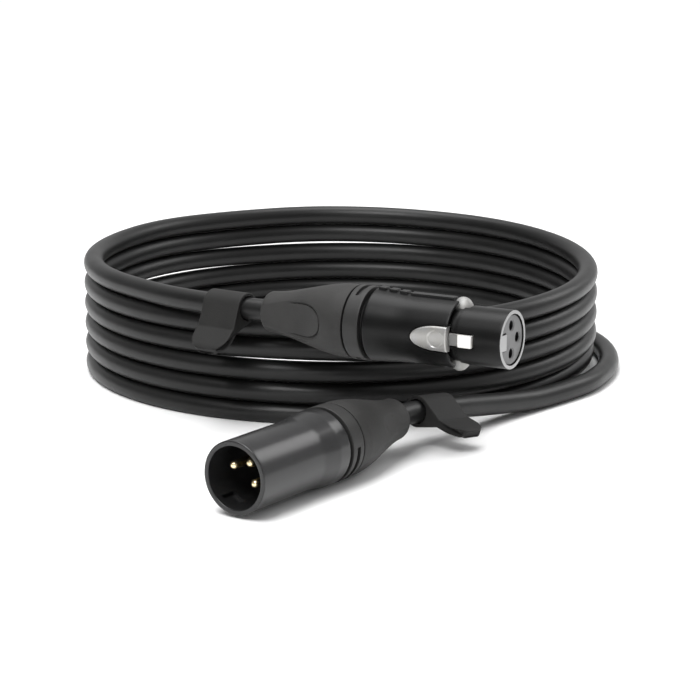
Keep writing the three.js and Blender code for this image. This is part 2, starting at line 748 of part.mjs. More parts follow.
function femaleShell() {
  const front = femaleLength;
  const body = turned([
    [shellStart, FEMALE_BODY_BORE],
    [clipStart - FIT_GAP, FEMALE_BODY_BORE],
    [clipStart - FIT_GAP, BARREL_BORE],
    [front, BARREL_BORE],
    [front, BARREL_RADIUS - SHELL_EDGE],
    [front - SHELL_EDGE, BARREL_RADIUS],
    [shoulder + NECK_LENGTH, BARREL_RADIUS],
    [shoulder + NECK_LENGTH, NECK_RADIUS],
    [shoulder, NECK_RADIUS],
    [shoulder, FEMALE_BODY_RADIUS - SHOULDER_EDGE],
    [shoulder - SHOULDER_EDGE, FEMALE_BODY_RADIUS],
    [shellStart + FEMALE_TAPER_LENGTH, FEMALE_BODY_RADIUS],
    [shellStart + SHELL_REAR_EDGE, FEMALE_REAR_RADIUS],
    [shellStart, FEMALE_REAR_RADIUS - SHELL_REAR_EDGE],
    [shellStart, FEMALE_BODY_BORE],
  ], SHELL_ROUND);
  const outside = FEMALE_REAR_RADIUS + CUT_MARGIN;
  const windowShape = bulletShape(shoulder, LATCH_LENGTH, LATCH_HALF_WIDTH, LATCH_GAP);
  const latchWindow = sidePlate(windowShape, -outside, -LATCH_WELL);
  const half = TONGUE_WIDTH / 2 + LATCH_GAP;
  const tongueEnd = hookEnd + LATCH_GAP;
  const tongueSlot = block(latchRoot, tongueEnd, -outside, -LATCH_WELL, -half, half);
  const domeX = DOME_HALF_LENGTH + FIT_GAP;
  const domeY = DOME_HALF_WIDTH + FIT_GAP;
  const domeWindow = block(-domeX, domeX, -domeY, domeY, -outside, outside);
  domeWindow.rotateX(radians(CLIP_ROLL)).translate(shoulder, 0, 0);
  return cut(join(body, keyLug(), ...topRib()), latchWindow, tongueSlot, domeWindow);
}

// It stands in from the rim and stops the leaf's front end.
function keyLug() {
  const wall = (BARREL_RADIUS + BARREL_BORE) / 2;
  const half = KEY_SLOT_WIDTH / 2 - FIT_GAP;
  return block(lugStart, femaleLength, -wall, -KEY_SLOT_FLOOR - FIT_GAP, -half, half);
}

function femaleInsert() {
  const front = femaleLength - INSERT_RECESS;
  const rear = front - INSERT_LENGTH;
  const radius = BARREL_BORE - FIT_GAP;
  const flange = FEMALE_BODY_BORE - FIT_GAP;
  const flangeEnd = clipStart - FIT_GAP - FACE_GAP;
  const clipFloor = clipInner - FIT_GAP;
  const body = turned([
    [rear, 0],
    [front, 0],
    [front, radius],
    [clipEnd + FIT_GAP, radius],
    [clipEnd + FIT_GAP, clipFloor],
    [clipStart - FIT_GAP, clipFloor],
    [clipStart - FIT_GAP, radius],
    [flangeEnd, radius],
    [flangeEnd, flange],
    [rear, flange],
    [rear, 0],
  ]);
  const half = KEY_SLOT_WIDTH / 2;
  const before = rear - CUT_MARGIN;
  const beyond = front + CUT_MARGIN;
  const outside = -flange - CUT_MARGIN;
  const keySlot = block(before, beyond, outside, -KEY_SLOT_FLOOR, -half, half);
  const latchWell = block(before, shoulder, outside, -LATCH_WELL, -flange, flange);
  const holes = contactPlaces(LATCH_SIDE).flatMap(([y, z]) => [
    rod(before, front - SOCKET_MOUTH_DEPTH, CONTACT_RADIUS + FIT_GAP).translate(0, y, z),
    rod(front - SOCKET_MOUTH_DEPTH - CUT_MARGIN, beyond, SOCKET_MOUTH_RADIUS).translate(0, y, z),
  ]);
  return cut(body, keySlot, latchWell, ...holes);
}

function femaleContact() {
  const front = femaleLength - INSERT_RECESS - SOCKET_MOUTH_DEPTH - FACE_GAP;
  const rear = femaleLength - INSERT_RECESS - INSERT_LENGTH;
  const cupEnd = rear - CUP_LENGTH;
  const bore = CONTACT_RADIUS - CONTACT_WALL;
  return turned([
    [cupEnd, CUP_BORE],
    [cupEnd + CUP_DEPTH, CUP_BORE],
    [cupEnd + CUP_DEPTH, 0],
    [front - CONTACT_BORE_DEPTH, 0],
    [front - CONTACT_BORE_DEPTH, bore],
    [front, bore],
    [front, CONTACT_RADIUS],
    [rear + CUP_STEP, CONTACT_RADIUS],
    [rear + CUP_STEP, CUP_RADIUS],
    [cupEnd, CUP_RADIUS],
    [cupEnd, CUP_BORE],
  ], SMALL_ROUND);
}

function latch() {
  const shape = bulletShape(shoulder, LATCH_LENGTH, LATCH_HALF_WIDTH, 0);
  const plate = sidePlate(shape, -latchTop - CUT_MARGIN, -BARREL_BORE);
  const tip = shoulder - LATCH_LENGTH;
  const skin = sleeve(tip - CUT_MARGIN, shoulder + CUT_MARGIN, latchUnder, latchTop, SHELL_ROUND);
  const button = common(plate, skin);
  const half = TONGUE_WIDTH / 2;
  const tongueTop = BARREL_RADIUS - TONGUE_SETBACK;
  const under = -tongueTop + TONGUE_THICKNESS;
  const tongue = block(latchRoot, hookEnd, -tongueTop, under, -half, half);
  const hookTop = -BARREL_RADIUS - HOOK_HEIGHT;
  const bridgeTop = -latchUnder - LATCH_THICKNESS / 3;
  const hook = block(hookEnd - HOOK_LENGTH, hookEnd, hookTop, under, -half, half);
  const bridge = block(latchRoot, shoulder, bridgeTop, under, -half, half);
  const toeHalf = TOE_WIDTH / 2;
  const toeTop = -Math.sqrt((FEMALE_BODY_BORE - FIT_GAP) ** 2 - toeHalf ** 2);
  const toeEnd = tip + LATCH_LENGTH / 3;
  const toeUnder = toeTop + TOE_THICKNESS;
  const toe = block(tip - TOE_LENGTH, toeEnd, toeTop, toeUnder, -toeHalf, toeHalf);
  const heel = block(tip + LATCH_LENGTH / 6, toeEnd, bridgeTop, toeUnder, -toeHalf, toeHalf);
  const dimple = rod(0, LATCH_THICKNESS, LATCH_DIMPLE_RADIUS, MEDIUM_ROUND);
  dimple.rotateZ(-Math.PI / 2);
  dimple.translate(shoulder - LATCH_DIMPLE_PLACE, -latchTop + LATCH_DIMPLE_DEPTH, 0);
  return cut(join(button, tongue, hook, bridge, toe, heel), dimple);
}

// The latch's leaf spring, on the floor of the key slot, its free end rising under the button.
function latchLeaf() {
  const floor = -KEY_SLOT_FLOOR - FIT_GAP;
  const front = lugStart - FACE_GAP;
  const bend = shoulder - LEAF_BEND;
  const rear = shoulder - LEAF_END;
  const outline = new THREE.Shape();
  outline.moveTo(front, floor);
  outline.lineTo(front, floor - LEAF_THICKNESS);
  outline.lineTo(bend, floor - LEAF_THICKNESS);
  outline.lineTo(rear, floor - LEAF_THICKNESS - LEAF_RISE);
  outline.lineTo(rear, floor - LEAF_RISE);
  outline.lineTo(bend, floor);
  outline.closePath();
  const geometry = new THREE.ExtrudeGeometry(outline, { depth: LEAF_WIDTH, bevelEnabled: false });
  return geometry.translate(0, 0, -LEAF_WIDTH / 2);
}

function earthingClip() {
  const ring = sleeve(clipStart, clipEnd, clipInner, clipOuter);
  const rise = DOME_TOP_RADIUS - clipInner;
  const domes = [1, -1].map((side) => {
    const ball = new THREE.SphereGeometry(1, SMALL_ROUND, SMALL_ROUND / 2);
    ball.scale(DOME_HALF_LENGTH, DOME_HALF_WIDTH, rise);
    return ball.translate(shoulder, 0, side * clipInner);
  });
  const before = clipStart - CUT_MARGIN;
  const beyond = clipEnd + CUT_MARGIN;
  const half = CLIP_OPENING / 2;
  const core = rod(before, beyond, clipInner, ROUND);
  const opening = block(before, beyond, -clipOuter - CUT_MARGIN, 0, -half, half);
  return cut(join(ring, ...domes), core, opening).rotateX(radians(CLIP_ROLL));
}

function femalePlug() {
  const group = new THREE.Group();
  const places = contactPlaces(LATCH_SIDE);
  const cupEnd = femaleLength - INSERT_RECESS - INSERT_LENGTH - CUP_LENGTH;
  group.add(...rearPieces("female", 0));
  group.add(piece("female_shell", femaleShell(), satinBlackFinish()));
  group.add(piece("female_insert", femaleInsert(), insertGreyFinish()));
  places.forEach(([y, z], i) => {
    const contact = piece(`female_contact_${i + 1}`, femaleContact(), goldFinish());
    contact.position.set(0, y, z);
    group.add(contact);
  });
  group.add(...conductors("female", places, cupEnd));
  group.add(piece("female_latch", latch(), nickelFinish()));
  group.add(piece("female_latch_leaf", latchLeaf(), springFinish()));
  group.add(piece("female_earthing_clip", earthingClip(), nickelFinish()));
  return placed(group, femaleEnd, 0);
}

// ---- Male plug ----
const KEY_SIDE = -1; // the key ridge and the catch are at -Y of the plug before its roll

const cavityFloor = maleLength - MALE_CAVITY_DEPTH;

function maleShell() {
  const body = turned([
    [shellStart, MALE_REAR_BORE],
    [cavityFloor - MALE_INSERT_LENGTH, MALE_REAR_BORE],
    [cavityFloor - MALE_INSERT_LENGTH, MALE_BORE],
    [maleLength - SHELL_EDGE, MALE_BORE],
    [maleLength, MALE_BORE + SHELL_EDGE],
    [maleLength, MALE_FRONT_RADIUS - SHELL_EDGE],
    [maleLength - SHELL_EDGE, MALE_FRONT_RADIUS],
    [maleTaperEnd, MALE_FRONT_RADIUS],
    [shellStart + MALE_REAR_LENGTH, MALE_REAR_RADIUS],
    [shellStart + SHELL_REAR_EDGE, MALE_REAR_RADIUS],
    [shellStart, MALE_REAR_RADIUS - SHELL_REAR_EDGE],
    [shellStart, MALE_REAR_BORE],
  ], SHELL_ROUND);
  const ridge = block(
    cavityFloor,
    cavityFloor + KEY_RIDGE_LENGTH,
    -(MALE_BORE + MALE_FRONT_RADIUS) / 2,
    -(MALE_BORE - KEY_RIDGE_HEIGHT),
    -KEY_RIDGE_WIDTH / 2,
    KEY_RIDGE_WIDTH / 2,
  );
  return cut(join(body, ridge), latchCatch());
}

// Where the female latch's hook snaps in when the female's shoulder meets the mouth.
function latchCatch() {
  const inner = maleLength - TONGUE_LENGTH - LATCH_GAP;
  const outer = maleLength - TONGUE_LENGTH + HOOK_LENGTH + LATCH_GAP;
  const half = TONGUE_WIDTH / 2 + LATCH_GAP;
  return block(inner, outer, -MALE_BORE - CATCH_DEPTH, CUT_MARGIN - MALE_BORE, -half, half);
}

function maleInsert() {
  const rear = cavityFloor - MALE_INSERT_LENGTH + FACE_GAP;
  const body = rod(rear, cavityFloor - FACE_GAP, MALE_BORE - FIT_GAP, ROUND);
  const holes = contactPlaces(KEY_SIDE).map(([y, z]) =>
    rod(rear - CUT_MARGIN, cavityFloor, PIN_RADIUS + FIT_GAP).translate(0, y, z),
  );
  return cut(body, ...holes);
}

function malePin() {
  const tip = cavityFloor + PIN_LENGTH;
  const rear = cavityFloor - MALE_INSERT_LENGTH;
  const cupEnd = rear - CUP_LENGTH;
  return turned([
    [cupEnd, CUP_BORE],
    [cupEnd + CUP_DEPTH, CUP_BORE],
    [cupEnd + CUP_DEPTH, 0],
    [tip, 0],
    ...PIN_TIP.map(([back, share]) => [tip - back, PIN_RADIUS * share]),
    [rear + CUP_STEP, PIN_RADIUS],
    [rear + CUP_STEP, CUP_RADIUS],
    [cupEnd, CUP_RADIUS],
    [cupEnd, CUP_BORE],
  ], SMALL_ROUND);
}

function malePlug() {
  const group = new THREE.Group();
  const places = contactPlaces(KEY_SIDE);
  const cupEnd = cavityFloor - MALE_INSERT_LENGTH - CUP_LENGTH;
  group.add(...rearPieces("male", MALE_BOOT_ROLL));
  group.add(piece("male_shell", maleShell(), blackChromeFinish()));
  group.add(piece("male_insert", maleInsert(), insertBlackFinish()));
  places.forEach(([y, z], i) => {
    const pin = piece(`male_pin_${i + 1}`, malePin(), goldFinish());
    pin.position.set(0, y, z);
    group.add(pin);
  });
  group.add(...conductors("male", places, cupEnd));
  return placed(group, maleEnd, MALE_ROLL);
}

// ---- Tags ----

// A strap round the cable, its two ends laid together as a flap along -Z, X along the cable.
function tagBody() {
  const inner = cableRadius + TAG_GAP;
  const outer = inner + TAG_STRAP;
  const half = TAG_WIDTH / 2;
  const flat = TAG_FLAP_THICKNESS / 2;
  const rootReach = Math.hypot(flat, TAG_ROOT);
  const side = Math.atan2(-TAG_ROOT, flat) + Math.acos(outer / rootReach);
  const section = new THREE.Shape();
  section.moveTo(-flat, -TAG_REACH - CUT_MARGIN);
  section.lineTo(flat, -TAG_REACH - CUT_MARGIN);
  section.lineTo(flat, -TAG_ROOT);
  section.absarc(0, 0, outer, side, Math.PI - side, false);
  section.lineTo(-flat, -TAG_ROOT);
  section.closePath();
  const strap = new THREE.ExtrudeGeometry(section, {
    depth: TAG_WIDTH,
    bevelEnabled: false,
    curveSegments: MEDIUM_ROUND,
  });
  strap.rotateX(Math.PI / 2).rotateZ(Math.PI / 2).translate(-half, 0, 0);
  const turn = TAG_END_RADIUS;
  const clear = outer + CUT_MARGIN;
  const wide = half + CUT_MARGIN;
  const outline = new THREE.Shape();
  outline.moveTo(-wide, clear);
  outline.lineTo(-wide, turn - TAG_REACH);
  outline.lineTo(-half, turn - TAG_REACH);
  outline.absarc(turn - half, turn - TAG_REACH, turn, Math.PI, 1.5 * Math.PI, false);
  outline.absarc(half - turn, turn - TAG_REACH, turn, 1.5 * Math.PI, 2 * Math.PI, false);
  outline.lineTo(wide, turn - TAG_REACH);
  outline.lineTo(wide, clear);
  outline.closePath();
  const bore = rod(-wide, wide, inner, MEDIUM_ROUND);
  return cut(common(strap, sidePlate(outline, -clear, clear)), bore);
}

// A tag's holder, its X along the lead towards the plug, at a distance behind the boot.
function tagAt(name, curve, setback, flapAngle) {
  const length = curve.getLength();
  const near = curve.getPointAt((length - setback) / length);
  const far = curve.getPointAt((length - setback - TAG_WIDTH) / length);
  const middle = curve.getPointAt((length - setback - TAG_WIDTH / 2) / length);
  const along = near.clone().sub(far).normalize();
  const across = new THREE.Vector3(-along.y, along.x, 0).normalize();
  const above = new THREE.Vector3().crossVectors(along, across);
  const mesh = piece(name, tagBody(), tagFinish());
  mesh.rotation.x = radians(flapAngle);
  const holder = new THREE.Group();
  holder.add(mesh);
  holder.setRotationFromMatrix(new THREE.Matrix4().makeBasis(along, across, above));
  holder.position.copy(near).lerp(far, 0.5).lerp(middle, 0.5);
  return holder;
}

function tags() {
  const group = new THREE.Group();
  const femaleFlap = -FEMALE_TAG_LEAN;
  const maleFlap = 90 - MALE_TAG_DROOP;
  group.add(tagAt("female_tag", femaleLead, FEMALE_TAG_SETBACK, femaleFlap));
  group.add(tagAt("male_tag", maleLead, MALE_TAG_SETBACK, maleFlap));
  return group;
}

const assembly = new THREE.Group();
assembly.add(cable(), femalePlug(), malePlug(), tags());

// The origin is the middle of the part's box, on the surface that it stands on.
const extent = new THREE.Box3().setFromObject(assembly, true);
const middle = extent.getCenter(new THREE.Vector3());
assembly.position.set(-middle.x, -middle.y, -extent.min.z);
assembly.updateMatrixWorld(true);

export default assembly;
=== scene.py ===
import logging
import math
from collections.abc import Callable, Iterable, Mapping, Sequence
from dataclasses import dataclass
from enum import Enum, IntEnum

import bmesh
import bpy
from mathutils import Matrix, Vector


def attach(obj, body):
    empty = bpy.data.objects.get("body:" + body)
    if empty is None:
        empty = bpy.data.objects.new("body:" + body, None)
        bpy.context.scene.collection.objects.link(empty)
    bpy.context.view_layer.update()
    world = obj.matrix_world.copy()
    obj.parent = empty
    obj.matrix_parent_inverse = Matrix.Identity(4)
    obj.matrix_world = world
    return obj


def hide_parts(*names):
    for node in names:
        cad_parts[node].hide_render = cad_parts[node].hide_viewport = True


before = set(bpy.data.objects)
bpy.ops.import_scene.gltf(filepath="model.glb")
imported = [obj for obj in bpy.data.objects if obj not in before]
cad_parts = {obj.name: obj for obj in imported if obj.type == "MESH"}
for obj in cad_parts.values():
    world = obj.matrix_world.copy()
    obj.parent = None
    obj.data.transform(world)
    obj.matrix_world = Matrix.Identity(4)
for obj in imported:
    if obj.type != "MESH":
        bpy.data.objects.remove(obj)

log = logging.getLogger("microphone_lead")

MM = 0.001
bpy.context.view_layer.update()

Pair = tuple[float, float]
Corner = tuple[float, float, float]
Profile = list[Pair]
Ring = list[Vector]


# ---------------------------------------------------------------------------
# Names of the model's parts
# ---------------------------------------------------------------------------


class Body(Enum):
    """The rigid bodies that a piece can ride on."""

    LEAD = "cable_and_plugs"
    LATCH = "latch"
    FEMALE_TAG = "female_tag_body"
    MALE_TAG = "male_tag_body"


class Slot(Enum):
    """The material slots."""

    JACKET = "jacket"
    BOOT = "boot_rubber"
    RING = "ring_plastic"
    ACETAL = "acetal"
    BLACK_SHELL = "black_shell"
    BLACK_CHROME = "black_chrome"
    GREY_INSERT = "grey_insert"
    BLACK_INSERT = "black_insert"
    NICKEL = "nickel"
    SPRING = "spring_steel"
    GOLD = "gold"
    TAG = "tag_rubber"
    COPPER = "bare_copper"
    RED = "red_insulation"
    WHITE = "white_insulation"


class Grain(Enum):
    """The kinds of fine relief that a finish can have."""

    NOISE = "noise"
    PEBBLE = "pebble"
    LINES = "lines"


class Steps(IntEnum):
    """The steps round a turned piece."""

    HOLE = 40
    BORE = 64
    INSERT = 96
    PLUG = 144
    MOUTH = 160
    BOOT = 288


# ---------------------------------------------------------------------------
# Shader maths
# ---------------------------------------------------------------------------


class Value:
    """A shader socket whose sums, differences and products are Math nodes."""

    def __init__(self, graph: "Graph", socket: bpy.types.NodeSocket) -> None:
        """Wraps a socket of a graph."""
        self.graph = graph
        self.socket = socket

    def _math(self, operation: str, first: "Value | float", second: "Value | float") -> "Value":
        """Adds one Math node and returns its result."""
        return self.graph.node("ShaderNodeMath", {"operation": operation}, {0: first, 1: second})

    def __add__(self, other: "Value | float") -> "Value":
        """Returns self + other."""
        return self._math("ADD", self, other)

    def __radd__(self, other: float) -> "Value":
        """Returns other + self."""
        return self._math("ADD", other, self)

    def __sub__(self, other: "Value | float") -> "Value":
        """Returns self - other."""
        return self._math("SUBTRACT", self, other)

    def __rsub__(self, other: float) -> "Value":
        """Returns other - self."""
        return self._math("SUBTRACT", other, self)

    def __mul__(self, other: "Value | float") -> "Value":
        """Returns self * other."""
        return self._math("MULTIPLY", self, other)

    def __rmul__(self, other: float) -> "Value":
        """Returns other * self."""
        return self._math("MULTIPLY", other, self)

    def between(self, low: float, high: float) -> "Value":
        """Returns the value eased from 0 at low to 1 at high."""
        settings = {"interpolation_type": "SMOOTHSTEP"}
        return self.graph.node("ShaderNodeMapRange", settings, {0: self, 1: low, 2: high})


class Graph:
    """The node tree of a material or of the surroundings, with the few calls that fill it."""

    def __init__(self, owner: bpy.types.Material | bpy.types.World, space: str = "Object") -> None:
        """Starts an empty tree.

        Args:
            owner: The material or the surroundings.
            space: The coordinates that its patterns lie in.
        """
        self.owner = owner
        owner.use_nodes = True
        self.tree = owner.node_tree
        self.tree.nodes.clear()
        self.place = self.node("ShaderNodeTexCoord", {}, {}, space)

    def node(
        self,
        kind: str,
        settings: Mapping[str, object],
        inputs: Mapping[int | str, object],
        output: int | str = 0,
    ) -> Value:
        """Adds a node, sets it up and links it.

        Args:
            kind: The node's type.
            settings: Its settings, with a ramp's stops under "stops".
            inputs: The value or link of each of its sockets.
            output: The socket to return.

        Returns:
            One of the node's results.
        """
        made = self.tree.nodes.new(kind)
        for key, setting in settings.items():
            if key == "stops":
                self._set_stops(made.color_ramp.elements, setting)
            else:
                setattr(made, key, setting)
        for key, given in inputs.items():
            if isinstance(given, Value):
                self.tree.links.new(given.socket, made.inputs[key])
            else:
                made.inputs[key].default_value = given
        return Value(self, made.outputs[output])

    @staticmethod
    def _set_stops(elements: bpy.types.bpy_prop_collection, stops: Sequence[tuple]) -> None:
        """Fills a colour ramp with stops.

        Args:
            elements: The ramp's elements.
            stops: Each stop as (position, colour).
        """
        while len(elements) < len(stops):
            elements.new(0.5)
        for element, (position, color) in zip(elements, stops):
            element.position = position
            element.color = color

    def noise(self, scale: float, detail: float = 3.0, stretch: Corner = (1, 1, 1)) -> Value:
        """Adds a noise texture in the model's own coordinates.

        Args:
            scale: Its cells per metre.
            detail: Its octaves.
            stretch: Factors on the coordinates, over 1 where the noise runs tighter.

        Returns:
            The noise, about 0.5 on average.
        """
        spread = self.node("ShaderNodeMapping", {}, {"Vector": self.place, "Scale": stretch})
        inputs = {"Vector": spread, "Scale": scale, "Detail": detail}
        return self.node("ShaderNodeTexNoise", {}, inputs)

    def mixed(self, share: "Value | float", first: object, second: object) -> Value:
        """Returns a mix of two colours, given or linked, with a share of the second."""
        inputs = {"Factor": share, 6: first, 7: second}
        return self.node("ShaderNodeMix", {"data_type": "RGBA"}, inputs, 2)

    def bumped(self, height: Value, distance: float, below: "Value | None" = None) -> Value:
        """Turns a height into a surface normal.

        Args:
            height: The height, from 0 to 1.
            distance: What a height of 1 is, in metres.
            below: The normal of a coarser relief under this one.

        Returns:
            The normal.
        """
        inputs = {"Strength": 1.0, "Distance": distance, "Height": height}
        if below is not None:
            inputs["Normal"] = below
        return self.node("ShaderNodeBump", {}, inputs)

    def finished(self, inputs: Mapping[int | str, object]) -> bpy.types.Material:
        """Ends the tree with a surface.

        Args:
            inputs: The surface's values and links, by input.

        Returns:
            The material.
        """
        surface = self.node("ShaderNodeBsdfPrincipled", {}, inputs)
        self.shown(surface, "ShaderNodeOutputMaterial")
        return self.owner

    def shown(self, surface: Value, kind: str) -> None:
        """Links the shader that the tree ends with to an output node of the given type."""
        output = self.tree.nodes.new(kind)
        self.tree.links.new(surface.socket, output.inputs["Surface"])


# ---------------------------------------------------------------------------
# Finishes
# ---------------------------------------------------------------------------


def rgba(color: Corner, factor: float = 1.0) -> tuple[float, float, float, float]:
    """Returns a colour as four numbers, made lighter or darker by a factor."""
    return (color[0] * factor, color[1] * factor, color[2] * factor, 1.0)


@dataclass(frozen=True)
class Relief:
    """One layer of fine relief."""

    kind: Grain  # its pattern
    scale: float  # its cells per metre
    height: float  # its depth in metres
    stretch: Corner = (1, 1, 1)  # factors on the coordinates

    def pattern(self, graph: Graph) -> Value:
        """Adds the pattern's nodes to a graph.

        Args:
            graph: The graph of the finish.

        Returns:
            The height, from 0 to 1.
        """
        if self.kind is Grain.PEBBLE:
            settings = {"feature": "SMOOTH_F1"}
            inputs = {"Vector": graph.place, "Scale": self.scale, "Smoothness": 0.6}
            return graph.node("ShaderNodeTexVoronoi", settings, inputs, "Distance")
        if self.kind is Grain.LINES:
            return graph.noise(self.scale, 1.0, self.stretch).between(0.35, 0.65)
        return graph.noise(self.scale, 4.0, self.stretch)


@dataclass(frozen=True)
class Finish:
    """How one material looks."""

    name: str  # the material's name
    slot: Slot  # its material slot
    color: Corner  # its mean colour
    roughness: float  # its mean roughness
    metallic: float = 0.0  # 1 for bare metal
    mottle: float = 0.15  # the share by which its colour varies
    mottle_scale: float = 120.0  # the cells of that variation per metre
    mottle_edges: Pair = (0.3, 0.7)  # the noise between which the colour turns
    gloss_spread: float = 0.06  # by how much its roughness varies
    smudge: float = 0.45  # the cells of that variation against those of the colour
    specular: float = 0.5  # the strength of its mirror reflection at a right angle
    coat: float = 0.0  # the weight of a clear coat on it
    coat_roughness: float = 0.1  # the coat's roughness
    reliefs: tuple[Relief, ...] = ()  # its layers of fine relief, coarsest first

    def colour(self, graph: Graph) -> Value:
        """Mottles the colour in soft clouds.

        Args:
            graph: The material's tree.

        Returns:
            The colour.
        """
        cloud = graph.noise(self.mottle_scale).between(*self.mottle_edges)
        darkest, lightest = (rgba(self.color, 1 + sign * self.mottle) for sign in (-1, 1))
        return graph.mixed(cloud, darkest, lightest)

    def gloss(self, graph: Graph) -> Value:
        """Returns the roughness, with broad smudges."""
        smudge = graph.noise(self.mottle_scale * self.smudge, 5.0) - 0.5
        return smudge * (2 * self.gloss_spread) + self.roughness

    def normal(self, graph: Graph) -> "Value | None":
        """Joins all the layers of relief.

        Args:
            graph: The material's tree.

        Returns:
            The normal that they give, or None without one.
        """
        shaped = None
        for relief in self.reliefs:
            shaped = graph.bumped(relief.pattern(graph), relief.height, shaped)
        return shaped

    def material(self) -> bpy.types.Material:
        """Returns the finish as a material, made once."""
        title = f"{self.name}_look"
        known = bpy.data.materials.get(title)
        if known is not None:
            return known
        graph = Graph(bpy.data.materials.new(title))
        inputs = {
            "Base Color": self.colour(graph),
            "Roughness": self.gloss(graph),
            "Metallic": self.metallic,
            "Specular IOR Level": self.specular,
            "Coat Weight": self.coat,
            "Coat Roughness": self.coat_roughness,
        }
        shaped = self.normal(graph)
        if shaped is not None:
            inputs["Normal"] = shaped
        return graph.finished(inputs)


@dataclass(frozen=True)
class JacketFinish(Finish):
    """Extruded soft PVC: a faint drawn texture and dull patches where it was handled."""

    patch_scale: float = 38.0  # the patches per metre
    patch_edges: Pair = (0.45, 0.75)  # the noise between which they begin
    patch_dullness: float = 0.07  # what they add to the roughness
    drawn_scale: float = 900.0  # the cells of the drawn texture per metre

    def gloss(self, graph: Graph) -> Value:
        """Lays long, faint, duller patches over the roughness.

        Args:
            graph: The material's tree.

        Returns:
            The roughness.
        """
        handled = graph.noise(self.patch_scale, 2.0).between(*self.patch_edges)
        drawn = graph.noise(self.drawn_scale, 2.0) * self.gloss_spread
        return handled * self.patch_dullness + (drawn + self.roughness)


@dataclass(frozen=True)
class SatinNickelFinish(Finish):
    """Bead-blasted plated metal, with a soft cloudiness and a faint yellow warmth in places."""

    cloud_scale: float = 260.0  # the clouds per metre
    cloud_edges: Pair = (0.35, 0.7)  # the noise between which they begin
    warmth: Corner = (1.0, 0.985, 0.95)  # what they multiply the colour by

    def colour(self, graph: Graph) -> Value:
        """Lays warmer clouds over a pale metal.

        Args:
            graph: The material's tree.

        Returns:
            The colour.
        """
        cloud = graph.noise(self.cloud_scale, 2.0).between(*self.cloud_edges)
        warm = tuple(part * factor for part, factor in zip(self.color, self.warmth))
        return graph.mixed(cloud, rgba(self.color), rgba(warm))


@dataclass(frozen=True)
class FilledNylonFinish(Finish):
    """Glass-filled nylon: fine pale flecks of fibre at the moulded skin."""

    fleck: float = 0.35  # how strongly the flecks show
    fleck_scale: float = 5200.0  # the flecks per metre
    fleck_stretch: Corner = (1.0, 0.4, 1.6)  # factors on the coordinates
    fleck_edges: Pair = (0.6, 0.75)  # the noise between which they begin
    fleck_tone: float = 1.9  # how much paler they are

    def colour(self, graph: Graph) -> Value:
        """Lays short pale flecks over the base colour.

        Args:
            graph: The material's tree.

        Returns:
            The colour.
        """
        base = Finish.colour(self, graph)
        flecks = graph.noise(self.fleck_scale, 1.0, self.fleck_stretch).between(*self.fleck_edges)
        return graph.mixed(flecks * self.fleck, base, rgba(self.color, self.fleck_tone))


@dataclass(frozen=True)
class TwistedWireFinish(Finish):
    """Bare copper strands, drawn as fine lines."""

    strand_scale: float = 2600.0  # the strands per metre
    strand_stretch: Corner = (1.0, 1.0, 3.0)  # factors on the coordinates
    strand_edges: Pair = (0.4, 0.6)  # the noise between which one begins
    strand_tones: Pair = (0.55, 1.15)  # the tone between strands and on them

    def colour(self, graph: Graph) -> Value:
        """Draws darker lines between strands of copper.

        Args:
            graph: The material's tree.

        Returns:
            The colour.
        """
        noise = graph.noise(self.strand_scale, 1.0, self.strand_stretch)
        dark, light = (rgba(self.color, tone) for tone in self.strand_tones)
        return graph.mixed(noise.between(*self.strand_edges), dark, light)


MOULDED_SKIN = (Relief(Grain.NOISE, 5200.0, 0.00002),)
BLASTED_SKIN = (Relief(Grain.NOISE, 7800.0, 0.00001),)

JACKET = JacketFinish(
    "jacket_pvc",
    Slot.JACKET,
    (0.0075, 0.0075, 0.0074),
    0.33,
    mottle=0.2,
    mottle_scale=60.0,
    specular=0.31,
    reliefs=(Relief(Grain.NOISE, 2600.0, 0.00003), Relief(Grain.NOISE, 9000.0, 0.000012)),
)
BOOT_RUBBER = Finish(
    "boot_rubber",
    Slot.BOOT,
    (0.0250, 0.0245, 0.0238),
    0.58,
    mottle=0.12,
    specular=0.3,
    reliefs=(Relief(Grain.PEBBLE, 2800.0, 0.00004), Relief(Grain.NOISE, 6500.0, 0.00002)),
)
RING_PLASTIC = Finish(
    "ring_plastic",
    Slot.RING,
    (0.0215, 0.0212, 0.0207),
    0.48,
    mottle=0.12,
    gloss_spread=0.05,
    specular=0.35,
    reliefs=MOULDED_SKIN,
)
BLACK_SHELL = Finish(
    "satin_black_shell",
    Slot.BLACK_SHELL,
    (0.0036, 0.0036, 0.0036),
    0.34,
    mottle=0.18,
    gloss_spread=0.05,
    specular=0.22,
    reliefs=(Relief(Grain.NOISE, 3600.0, 0.000012),),
)
SHELL_RIM = Finish(
    "bare_shell_rim",
    Slot.BLACK_SHELL,
    (0.34, 0.34, 0.34),
    0.40,
    metallic=0.5,
    mottle=0.06,
    reliefs=(Relief(Grain.NOISE, 5200.0, 0.00001),),
)
BLACK_CHROME = Finish(
    "black_chrome",
    Slot.BLACK_CHROME,
    (0.014, 0.014, 0.0145),
    0.26,
    mottle=0.15,
    gloss_spread=0.04,
    specular=0.40,
    coat=0.10,
    coat_roughness=0.12,
    reliefs=(Relief(Grain.NOISE, 2400.0, 0.000006),),
)
GREY_INSERT = FilledNylonFinish(
    "grey_insert",
    Slot.GREY_INSERT,
    (0.140, 0.140, 0.141),
    0.52,
    mottle=0.08,
    mottle_scale=300.0,
    reliefs=MOULDED_SKIN,
)
BLACK_INSERT = FilledNylonFinish(
    "black_insert",
    Slot.BLACK_INSERT,
    (0.008, 0.008, 0.009),
    0.5,
    fleck=0.2,
    reliefs=MOULDED_SKIN,
)
